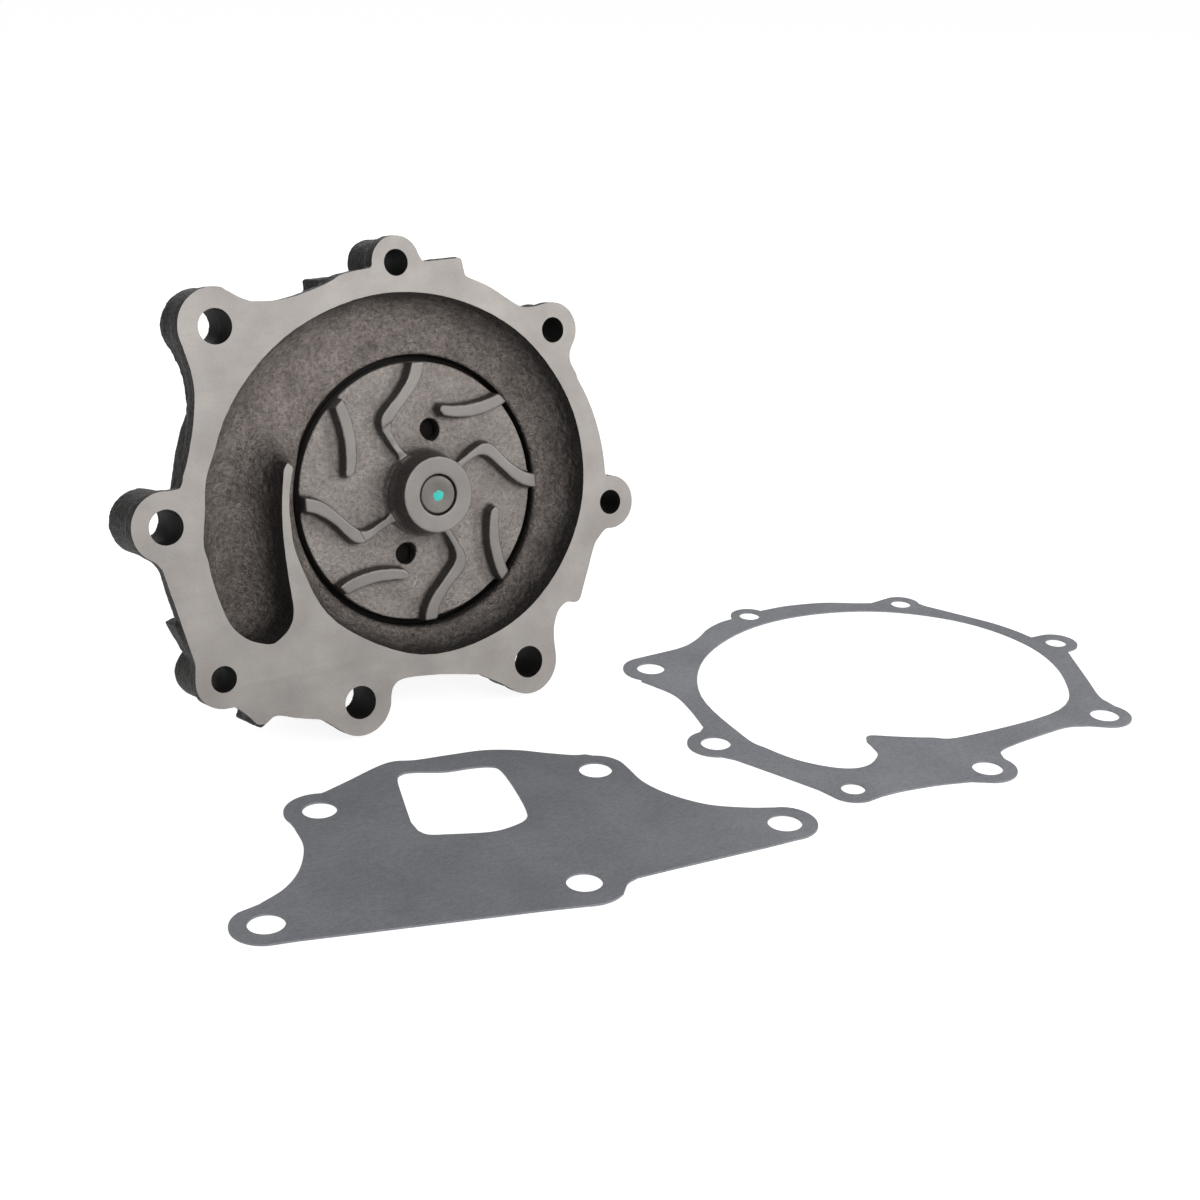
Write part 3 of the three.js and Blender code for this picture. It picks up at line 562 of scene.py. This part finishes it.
def cast_iron(name, dark, light, rough=(0.36, 0.6), grain=0.0007, metallic=0.35, painted_wall_shade=0.35,
              gloss=0.5, pits=0.55):
    """Sand-cast iron: mottled, grainy, a little glossy, and darkened on its walls by painted shade.
    """
    m, tree, shader, node = material(name)
    at = mapped(tree, node)
    blotch = noise_node(tree, node, at, 75, 6, 0.65)
    speck = noise_node(tree, node, at, 560, 3, 0.7)
    sand = noise_node(tree, node, at, 1400, 2, 0.5)
    tone = ramp(tree, node, blotch, [(0.36, dark), (0.66, light)])
    shade = ramp(tree, node, speck, [(0.36, grey(pits)), (0.6, grey(1.0))])
    tone = mix(tree, node, 1.0, tone, shade, "MULTIPLY")
    # Painted shade: faces that turn away from the pump's outward axis, such as walls, fillets and
    # vane sides, get a darker colour whatever the lamps do.
    facing = node("SeparateXYZ")
    tree.links.new(node("TexCoord").outputs["Normal"], facing.inputs["Vector"])
    painted_shade = ramp(tree, node, facing.outputs["Z"], [(0.3, grey(painted_wall_shade)), (0.98, grey(1.0))])
    tone = mix(tree, node, 1.0, tone, painted_shade, "MULTIPLY")
    tree.links.new(tone, shader.inputs["Base Color"])
    tree.links.new(
        ramp(tree, node, sand, [(0.36, grey(rough[0])), (0.64, grey(rough[1]))]),
        shader.inputs["Roughness"],
    )
    shader.inputs["Metallic"].default_value = metallic
    shader.inputs["Specular IOR Level"].default_value = gloss
    first = bump(tree, node, speck, 1.0, grain)
    tree.links.new(bump(tree, node, sand, 0.8, grain * 0.4, first), shader.inputs["Normal"])
    return m


def machined(name, dark, light, rough=(0.3, 0.45), marks=(1, 1, 1), metallic=0.9,
             depth=0.00004, gloss=0.5):
    """Milled or turned iron: fine lines along one way, light mottling and stains."""
    m, tree, shader, node = material(name)
    at = mapped(tree, node)
    lines = noise_node(tree, node, mapped(tree, node, marks, (0, 0, 0.5)), 60, 3, 0.7)
    blotch = noise_node(tree, node, at, 45, 4, 0.55)
    speck = noise_node(tree, node, at, 1300, 2, 0.5)
    tone = ramp(tree, node, blotch, [(0.3, dark), (0.7, light)])
    streak = ramp(tree, node, lines, [(0.3, grey(0.72)), (0.7, grey(1.0))])
    tone = mix(tree, node, 0.25, tone, streak, "MULTIPLY")
    stain = ramp(tree, node, speck, [(0.28, grey(0.6)), (0.45, grey(1.0))])
    tone = mix(tree, node, 0.3, tone, stain, "MULTIPLY")
    tree.links.new(tone, shader.inputs["Base Color"])
    polish = ramp(tree, node, lines, [(0.3, grey(rough[0])), (0.7, grey(rough[1]))])
    tree.links.new(polish, shader.inputs["Roughness"])
    shader.inputs["Metallic"].default_value = metallic
    shader.inputs["Specular IOR Level"].default_value = gloss
    first = bump(tree, node, lines, 0.35, depth)
    tree.links.new(bump(tree, node, speck, 0.3, depth, first), shader.inputs["Normal"])
    return m


def plain(name, colour, rough, metallic=0.0, scale=600, depth=0.00005):
    """A moulded or ground surface with a faint grain."""
    m, tree, shader, node = material(name)
    grain = noise_node(tree, node, mapped(tree, node), scale, 3, 0.6)
    darker = tuple(0.75 * c for c in colour)
    tone = ramp(tree, node, grain, [(0.3, darker), (0.7, colour)])
    tree.links.new(tone, shader.inputs["Base Color"])
    low, high = grey(rough * 0.85), grey(min(1, rough * 1.1))
    tree.links.new(ramp(tree, node, grain, [(0.3, low), (0.7, high)]), shader.inputs["Roughness"])
    shader.inputs["Metallic"].default_value = metallic
    tree.links.new(bump(tree, node, grain, 0.3, depth), shader.inputs["Normal"])
    return m


def gasket_paper(name):
    """Blue-grey fibre sheet with short fibres lying one way."""
    m, tree, shader, node = material(name)
    fibre = noise_node(tree, node, mapped(tree, node, (1, 2.5, 1), (0, 0, 0.7)), 330, 4, 0.75)
    cloud = noise_node(tree, node, mapped(tree, node), 30, 3, 0.5)
    speck = noise_node(tree, node, mapped(tree, node), 1500, 2, 0.6)
    tone = ramp(tree, node, cloud, [(0.3, (0.22, 0.227, 0.248)), (0.7, (0.28, 0.288, 0.31))])
    threads = ramp(tree, node, fibre, [(0.38, grey(0.62)), (0.58, grey(1.0))])
    tone = mix(tree, node, 0.35, tone, threads, "MULTIPLY")
    dots = ramp(tree, node, speck, [(0.4, grey(0.6)), (0.56, grey(1.0))])
    tone = mix(tree, node, 0.4, tone, dots, "MULTIPLY")
    tree.links.new(tone, shader.inputs["Base Color"])
    shader.inputs["Roughness"].default_value = 0.78
    shader.inputs["Specular IOR Level"].default_value = 0.35
    first = bump(tree, node, fibre, 0.4, 0.00008)
    tree.links.new(bump(tree, node, speck, 0.4, 0.00005, first), shader.inputs["Normal"])
    return m


# Painted shade: the passage walls and fillets are darkened to 0.14 of the floor's colour.
housing_cast = cast_iron(
    "housing_cast", (0.25, 0.213, 0.19), (0.39, 0.34, 0.31), (0.28, 0.5), grain=0.0022, painted_wall_shade=0.14
)
housing_outer = cast_iron(
    "housing_outer", (0.014, 0.012, 0.011), (0.03, 0.026, 0.024), (0.55, 0.75), metallic=0,
    painted_wall_shade=1, gloss=0.25
)
housing_face = machined(
    "housing_face", (0.315, 0.294, 0.278), (0.41, 0.384, 0.361), (0.46, 0.58), marks=(0.25, 6, 1)
)
# Painted shade: the bore walls get a near-black colour so that the holes and bores look deep in
# shadow.
bore_painted_dark = machined(
    "bore_painted_dark", (0.006, 0.005, 0.0045), (0.013, 0.011, 0.009), (0.6, 0.8), marks=(1, 1, 14),
    metallic=0, gloss=0.2
)
# Painted shade: the vane sides and hub flank are darkened to 0.2 of the disc's colour.
impeller_cast = cast_iron(
    "impeller_cast", (0.31, 0.272, 0.25), (0.42, 0.38, 0.355), grain=0.0012, painted_wall_shade=0.2, pits=0.7
)
impeller_face = machined(
    "impeller_face", (0.24, 0.223, 0.211), (0.3, 0.281, 0.266), (0.45, 0.58)
)
pulley_cast = cast_iron(
    "pulley_cast", (0.02, 0.018, 0.017), (0.045, 0.04, 0.037), metallic=0, painted_wall_shade=1, gloss=0.3
)
pulley_face = machined(
    "pulley_face", (0.22, 0.205, 0.195), (0.34, 0.32, 0.305), marks=(1, 1, 30)
)
steel = machined("ground_steel", (0.16, 0.148, 0.137), (0.22, 0.205, 0.19), (0.35, 0.5))
bearing_steel = plain("bearing_steel", (0.55, 0.55, 0.56), 0.25, 1.0)
brass = plain("cup_brass", (0.60, 0.45, 0.20), 0.32, 1.0)
rubber = plain("black_rubber", (0.022, 0.022, 0.023), 0.75)
carbon = plain("carbon", (0.035, 0.035, 0.038), 0.4, 0.2)
ceramic = plain("ceramic", (0.78, 0.75, 0.68), 0.25)
nylon = plain("nylon", (0.07, 0.11, 0.2), 0.5)
paper = gasket_paper("gasket_paper")
paint = plain("paint_mark", (0.025, 0.58, 0.5), 0.45, scale=300)

# ---------------------------------------------------------------- housing


def snout(f):
    """The round rear end that holds the bearing."""
    return f.turned([(0, 26), (44, 26), (44, 29), (34, 37), (28.5, 46), (SNOUT_R, 54),
                     (SNOUT_R, SNOUT_REAR - 1), (SNOUT_R - 1, SNOUT_REAR), (0, SNOUT_REAR)])


def snout_rib(f, turn):
    """A web that slopes from the body's rear down to the snout."""
    along = f.X * math.cos(turn) + f.Y * math.sin(turn)
    aside = np.abs(f.Y * math.cos(turn) - f.X * math.sin(turn)) - RIB_HALF
    depth = -f.Z
    slope = (depth - 51) * 0.76 + (along - 28.5) * 0.65
    return np.maximum(np.maximum(aside, slope), np.maximum(-along, 20 - depth))


def lug(f, x, y, radius, depth):
    """A round boss with a neck that joins it to the body."""
    boss = f.disc(radius, -3, depth, x, y, 0.8)
    out = math.atan2(y, x)
    along = (f.X - x) * math.cos(out) + (f.Y - y) * math.sin(out)
    aside = np.abs((f.Y - y) * math.cos(out) - (f.X - x) * math.sin(out)) - radius * 0.72
    neck = np.maximum(aside, np.maximum(along, -along - radius - 8))
    return blend(boss, f.through(neck, -3, depth - 5, 1.5), 3)


def edge_web(f, flange_flat):
    """The thickened edge between the top left lug and the left one."""
    slope = -f.Z - (FLANGE_T - 0.5 + (f.Y - 25) * 0.215)
    ends = np.maximum(f.X + 80, np.maximum(24 - f.Y, f.Z))
    return np.maximum(np.maximum(flange_flat, slope), ends)


def passage(f, passage_flat):
    """The half-round spiral passage, with the deeper trough of its outlet pocket."""
    spiral_way = f.through(passage_flat, -20, PASSAGE_DEPTH, PASSAGE_ROUND)
    past_end = f.Y - np.clip(f.Y, POCKET_FOOT, POCKET_TOP)
    sink = (f.Y - POCKET_FOOT) * POCKET_SLOPE
    below = f.Z + POCKET_DEPTH - sink
    trough = np.sqrt((f.X - POCKET_X) ** 2 + past_end ** 2 + below ** 2) - POCKET_R
    return blend(spiral_way, trough, 5)


def housing_bores(f, chamber):
    """Everything that a tool cuts behind the face."""
    tools = chamber
    for x, y, _, hole, depth in LUGS:
        tools = np.minimum(tools, f.disc(hole, -9, depth + 5, x, y))
    bore = f.turned([(0, 20), (SEAL_BORE_R, 20), (SEAL_BORE_R, WAIST_FRONT),
                     (WAIST_R, WAIST_FRONT), (WAIST_R, BEARING_FRONT),
                     (BEARING_R, BEARING_FRONT), (BEARING_R, 90), (0, 90)])
    drain = np.hypot(f.X, f.Z + DRAIN_DEPTH) - DRAIN_R
    drain = np.maximum(drain, np.maximum(f.Y, -DRAIN_LENGTH - f.Y))
    return np.minimum(np.minimum(tools, bore), drain)


def mill_face(obj):
    """Cuts the casting flat at the gasket face and gives the new face its own material."""
    bm = bmesh.new()
    bm.from_mesh(obj.data)
    cut = bmesh.ops.bisect_plane(
        bm, geom=bm.verts[:] + bm.edges[:] + bm.faces[:], dist=1e-7,
        plane_co=(0, 0, 0), plane_no=(0, 0, 1), clear_outer=True,
    )
    rim = [g for g in cut["geom_cut"] if isinstance(g, bmesh.types.BMEdge)]
    for e in rim:
        e.smooth = False
    filled = bmesh.ops.triangle_fill(
        bm, edges=rim, use_beauty=True, use_dissolve=False, normal=(0, 0, 1)
    )
    for g in filled["geom"]:
        if isinstance(g, bmesh.types.BMFace):
            g.material_index = 1
            g.smooth = False
            if g.normal.z < 0:
                g.normal_flip()
    bm.to_mesh(obj.data)
    bm.free()


def build_housing():
    f = Field((-129, -92, -83), (95, 106, 4), CASTING_STEP)
    flange_flat = f.outline(flange_outline())
    flange = f.through(flange_flat, -3, FLANGE_T, 1.2)
    casting = blend(flange, f.through(f.outline(body_outline()), 2, BODY_REAR, 10), 4)
    casting = blend(casting, snout(f), 6)
    for i in range(RIBS):
        casting = blend(casting, snout_rib(f, i * math.pi / 3), 5)
    for x, y, radius, _, depth in LUGS:
        casting = blend(casting, lug(f, x, y, radius, depth), 3)
    for outline, rear in CAST_PADS:
        pad = f.through(f.outline(np.array(outline)), 3, rear, 1.2)
        casting = blend(casting, pad, 2.5)
    casting = blend(casting, edge_web(f, flange_flat), 3)
    passage_flat = f.outline(passage_outline())
    casting = carve(casting, passage(f, passage_flat), 1.2)
    chamber = f.disc(CHAMBER_R, 10, CHAMBER_FLOOR)
    casting = carve(casting, chamber, 1.6)
    tools = housing_bores(f, chamber)
    points, quads = f.mesh(carve(casting, tools))
    from_tool = (np.abs(tools[f.nearest(points)]) - 0.6) / 1.2
    from_face = (-points[:, 2] - 0.4) / 2.5
    cast = np.clip(from_tool, 0, 1) * np.clip(from_face, 0.25, 1)
    points = roughen(points, quads, cast)
    looks = [housing_cast, housing_face, bore_painted_dark, housing_outer]
    obj = new_object("housing_casting", points, quads, PUMP, looks)
    mill_face(obj)
    c, n = centres_and_normals(obj)
    near = f.nearest(c)
    r = np.hypot(c[:, 0], c[:, 1])
    # Painted shade: these faces of the bores and holes get the near-black bore colour.
    painted_dark_bores = np.abs(tools[near]) < 0.55
    painted_dark_bores &= (np.abs(r - CHAMBER_R) > 2) | (c[:, 2] < -19.4)
    face = (c[:, 2] > -0.02) & (np.abs(n[:, 2]) > 0.9)
    outer = (passage_flat[near[0], near[1], 0] > 5) | (c[:, 2] < -BODY_REAR + 3)
    set_materials(obj, np.where(face, 1, np.where(painted_dark_bores, 2, np.where(outer, 3, 0))))
    return attach(obj, "casing", "housing_iron", "housing")


# ---------------------------------------------------------------- impeller


def build_impeller():
    f = Field((-54, -54, -25), (54, 54, 2), IMPELLER_STEP)
    disc = f.disc(DISC_R + 0.6, DISC_FRONT, DISC_REAR + 0.5, rounding=0.3)
    hub = f.turned([(0, -3), (HUB_R, -3), (HUB_R + 0.6, 8), (HUB_R + 2.6, 14),
                    (HUB_R + 6, DISC_FRONT + 1), (0, DISC_FRONT + 1)])
    body = blend(disc, hub, 7)
    long_flat, short_flat = f.outline(long_vane()), f.outline(short_vane())
    depth = -f.Z
    draft = np.clip(depth - VANE_TOP, 0, 8) * 0.07
    for quarter in range(4):
        inner = np.clip((32.3 - f.R) / 0.6, 0, 1) * np.clip((f.R - 20) / 3, 0, 1)
        top = VANE_TOP + (0.8 if quarter in (0, 3) else 0.0) * inner
        for flat, front in ((long_flat, top), (short_flat, VANE_TOP)):
            flat = np.rot90(flat, k=-quarter, axes=(0, 1))
            vane = np.maximum(flat - draft, np.maximum(front - depth, depth - 20))
            body = blend(body, vane, 2.2)
    body = np.maximum(body, np.minimum(VANE_TOP - depth, f.R - HUB_R - 2))
    tools = np.minimum(f.disc(8.25, -3, 30), f.disc(13.8, 18, 30))
    for side in (1, -1):
        x, y = PULLER_HOLE
        tools = np.minimum(tools, f.disc(PULLER_HOLE_R, 5, 30, x * side, y * side))
    body = carve(body, tools)
    turning = np.maximum(f.R - DISC_R, np.maximum(f.Z, -DISC_REAR - f.Z))
    points, quads = f.mesh(np.maximum(body, turning))
    r = np.hypot(points[:, 0], points[:, 1])
    turned = (points[:, 2] > -VANE_TOP - 0.3) | (r > DISC_R - 0.3)
    turned |= points[:, 2] < -DISC_REAR + 0.3
    cast = np.where(turned, 0, 1) * np.clip((np.abs(r - 8.25) - 0.5) / 2, 0, 1)
    points = roughen(points, quads, cast, 0.08, 0.1)
    looks = [impeller_cast, impeller_face]
    obj = new_object("impeller_casting", points, quads, PUMP, looks)
    c, n = centres_and_normals(obj)
    r = np.hypot(c[:, 0], c[:, 1])
    tops = (np.abs(n[:, 2]) > 0.85) & (c[:, 2] > -VANE_TOP - 1.1)
    rim = (r > DISC_R - 0.25) | ((c[:, 2] < -DISC_REAR + 0.2) & (n[:, 2] < -0.8))
    set_materials(obj, np.where(tops | rim, 1, 0))
    return attach(obj, "rotor", "impeller_iron", "impeller")


# ---------------------------------------------------------------- pulley


def build_pulley():
    f = Field((-79, -79, -98), (79, 79, -46), CASTING_STEP)
    web = f.turned([(57, 50), (74, 50), (74, PULLEY_REAR - 1.5), (HAT_R, PULLEY_REAR - 1.5),
                    (HAT_R, HAT_REAR + 1), (5, HAT_REAR + 1), (5, 84.2), (15, 84.2), (15, 88),
                    (28.5, 88), (28.5, 65), (57, 65)])
    rim = f.turned([(RIM_IN, PULLEY_FRONT - 1), (79, PULLEY_FRONT - 1), (79, PULLEY_REAR),
                    (62.6, PULLEY_REAR), (61.4, PULLEY_REAR - 2), (RIM_IN, PULLEY_REAR - 2)])
    body = blend(web, rim, 2)
    middle = (PULLEY_FRONT + PULLEY_REAR) / 2
    bottom = PULLEY_R - GROOVE_DEPTH
    tools = f.turned([(bottom, middle - GROOVE_HALF_IN), (90, middle - GROOVE_HALF_OUT),
                      (90, middle + GROOVE_HALF_OUT), (bottom, middle + GROOVE_HALF_IN)])
    tools = np.minimum(tools, f.disc(8.3, 40, 120))
    for i in range(FAN_BOLTS):
        turn = math.pi / 4 + i * math.pi / 2
        x, y = FAN_BOLT_CIRCLE_R * math.cos(turn), FAN_BOLT_CIRCLE_R * math.sin(turn)
        tools = np.minimum(tools, f.disc(FAN_HOLE_R, 86, 120, x, y))
    body = carve(body, tools)
    ends = np.maximum(f.Z + PULLEY_FRONT, -HAT_REAR - f.Z)
    points, quads = f.mesh(np.maximum(body, np.maximum(f.R - PULLEY_R, ends)))
    r = np.hypot(points[:, 0], points[:, 1])
    done = (r > 61) | (points[:, 2] < -HAT_REAR + 0.4) | (r < 9.5)
    points = roughen(points, quads, np.where(done, 0, 1), 0.14, 0.14)
    obj = new_object("pulley_casting", points, quads, PUMP, [pulley_cast, pulley_face])
    c, _ = centres_and_normals(obj)
    r = np.hypot(c[:, 0], c[:, 1])
    turned = (r > 62.2) | (c[:, 2] < -HAT_REAR + 0.3) | (r < 9)
    set_materials(obj, np.where(turned, 1, 0))
    return attach(obj, "rotor", "pulley_iron", "pulley")


# ---------------------------------------------------------------- shaft and paint mark


def build_shaft():
    end, body, rear = SHAFT_END_R, SHAFT_R, SHAFT_REAR
    profile = [(0, 0.9), (1.1, 0.9), (1.6, 0.4), (7.2, 0.4), (end, 1.2), (end, 41), (body, 42.6),
               (body, 82), (end, 83.4), (end, 95), (7.1, rear), (1.6, rear), (1.1, rear - 0.6),
               (0, rear - 0.6)]
    obj = lathe("shaft_turned", rounded(profile, 0.15, 2), PUMP, [steel])
    return attach(obj, "rotor", "shaft_steel", "shaft")


def build_paint_mark():
    """A dab of paint on the shaft's end."""
    rings, around = 5, 40
    points = [(0, 0, -0.12)]
    for i in range(1, rings + 1):
        share = i / rings
        for k in range(around):
            angle = 2 * math.pi * k / around
            edge = PAINT_R + 0.18 * math.sin(2 * angle + 1) + 0.1 * math.sin(5 * angle)
            x, y = share * edge * math.cos(angle), share * edge * math.sin(angle) - 0.4
            points.append((x, y, -0.12 - 0.26 * share**3))
    faces = [(0, 1 + k, 1 + (k + 1) % around) for k in range(around)]
    for i in range(rings - 1):
        for k in range(around):
            a, b = 1 + i * around + k, 1 + i * around + (k + 1) % around
            faces.append((a, a + around, b + around, b))
    obj = new_object("paint_mark", points, faces, PUMP, [paint])
    return attach(obj, "rotor", "shaft_steel")


# ---------------------------------------------------------------- gaskets


def drop_repeats(loop):
    """The points of a closed loop without those that repeat the one before."""
    return [p for p, q in zip(loop, np.roll(loop, 1, 0)) if np.hypot(*(p - q)) > 0.05]


def build_sheet(name, node, body, outline, opening, holes, matrix):
    """A flat sheet with a slightly soft cut edge."""
    loops = [outline, opening] + [arc(x, y, r, 0, 360, 40)[:-1] for x, y, r in holes]
    bm = bmesh.new()
    edges = []
    for loop in loops:
        verts = [bm.verts.new((p[0] * MM, p[1] * MM, 0)) for p in drop_repeats(loop)]
        edges += [bm.edges.new((a, b)) for a, b in zip(verts, verts[1:] + verts[:1])]
    bmesh.ops.triangle_fill(bm, edges=edges, use_beauty=True, normal=(0, 0, 1))
    bmesh.ops.recalc_face_normals(bm, faces=bm.faces)
    if sum(face.normal.z for face in bm.faces) < 0:
        bmesh.ops.reverse_faces(bm, faces=bm.faces)
    top = bmesh.ops.extrude_face_region(bm, geom=bm.faces[:])
    lifted = [g for g in top["geom"] if isinstance(g, bmesh.types.BMVert)]
    bmesh.ops.translate(bm, verts=lifted, vec=(0, 0, GASKET_T * MM))
    bmesh.ops.recalc_face_normals(bm, faces=bm.faces)
    mesh = bpy.data.meshes.new(name)
    bm.to_mesh(mesh)
    bm.free()
    obj = bpy.data.objects.new(name, mesh)
    bpy.context.scene.collection.objects.link(obj)
    mesh.materials.append(paper)
    obj.matrix_world = matrix
    edge = obj.modifiers.new("soft edge", "BEVEL")
    edge.width = 0.00014
    edge.segments = 2
    edge.limit_method = "ANGLE"
    edge.angle_limit = math.radians(50)
    return attach(obj, body, "gasket_paper", node)


def on_ground(place, turn=0.0):
    """Where a sheet lies, from the point on the ground below the pump's axis."""
    x, y = place
    below_axis = Vector((PUMP.translation.x, PUMP.translation.y, 0))
    at = Matrix.Translation(below_axis + Vector((x, y, 0)) * MM)
    return at @ Matrix.Rotation(math.radians(turn), 4, "Z") if turn else at


def build_gaskets():
    build_sheet(
        "volute_gasket_sheet", "volute_gasket", "loose_volute_gasket",
        volute_gasket_outline(), volute_gasket_opening(),
        [(x, y, hole * GASKET_HOLE_SHARE) for x, y, _, hole, _ in LUGS],
        on_ground(VOLUTE_GASKET_AT, VOLUTE_GASKET_TURN),
    )
    build_sheet(
        "plate_gasket_sheet", "plate_gasket", "loose_plate_gasket",
        plate_gasket_outline(), plate_gasket_window(),
        [(x, y, PLATE_HOLE_R) for x, y in PLATE_HOLES],
        on_ground(PLATE_GASKET_AT),
    )


# ---------------------------------------------------------------- hidden pieces


def dress_cad_nodes():
    """The pieces inside the pump are shown as the CAD has them."""
    looks = {
        "bearing_ring": bearing_steel, "bearing_seal_front": rubber, "bearing_seal_rear": rubber,
        "cage_front": nylon, "cage_rear": nylon, "slinger": rubber, "seal_cup": brass,
        "seal_bellows": rubber, "seal_spring": bearing_steel, "seal_carbon_ring": carbon,
        "seal_ceramic_seat": ceramic, "seal_seat_cup": rubber,
    }
    for name, obj in frame["nodes"].items():
        look = bearing_steel if name.startswith("ball_") else looks.get(name)
        if look:
            obj.data.materials.clear()
            obj.data.materials.append(look)
            obj.data.shade_smooth()


# ---------------------------------------------------------------- studio


def build_studio():
    floor_look, _, shader, _ = material("floor")
    shader.inputs["Base Color"].default_value = (0.35, 0.35, 0.35, 1)
    shader.inputs["Roughness"].default_value = 0.9
    shader.inputs["Emission Color"].default_value = (1, 1, 1, 1)
    shader.inputs["Emission Strength"].default_value = 0.9
    bpy.ops.mesh.primitive_plane_add(size=40, location=(0, 0, -0.0002))
    floor = bpy.context.object
    floor.name = "floor"
    floor.data.materials.append(floor_look)
    world = bpy.data.worlds.new("world")
    bpy.context.scene.world = world
    world.use_nodes = True
    sky = world.node_tree.nodes["Background"]
    sky.inputs["Color"].default_value = (1, 1, 1, 1)
    sky.inputs["Strength"].default_value = 0.22
    lamps = (
        ("front", (-0.1, -1.3, 0.85), 0.7, 8),
        ("top", (0.25, -0.5, 1.7), 1.1, 6),
        ("right", (0.95, -1.05, 0.6), 0.35, 5.5),
        ("rear", (0.3, 1.7, 1.2), 1.2, 16),
    )
    for name, place, size, power in lamps:
        data = bpy.data.lights.new(name, "AREA")
        data.shape = "DISK"
        data.size = size
        data.energy = power
        lamp = bpy.data.objects.new(name, data)
        bpy.context.scene.collection.objects.link(lamp)
        lamp.location = place
        aim = Vector((0, 0, 0.06)) - Vector(place)
        lamp.rotation_euler = aim.to_track_quat("-Z", "Y").to_euler()
    bpy.context.scene.view_settings.view_transform = "Standard"


build_housing()
build_impeller()
build_pulley()
build_shaft()
build_paint_mark()
build_gaskets()
dress_cad_nodes()
build_studio()
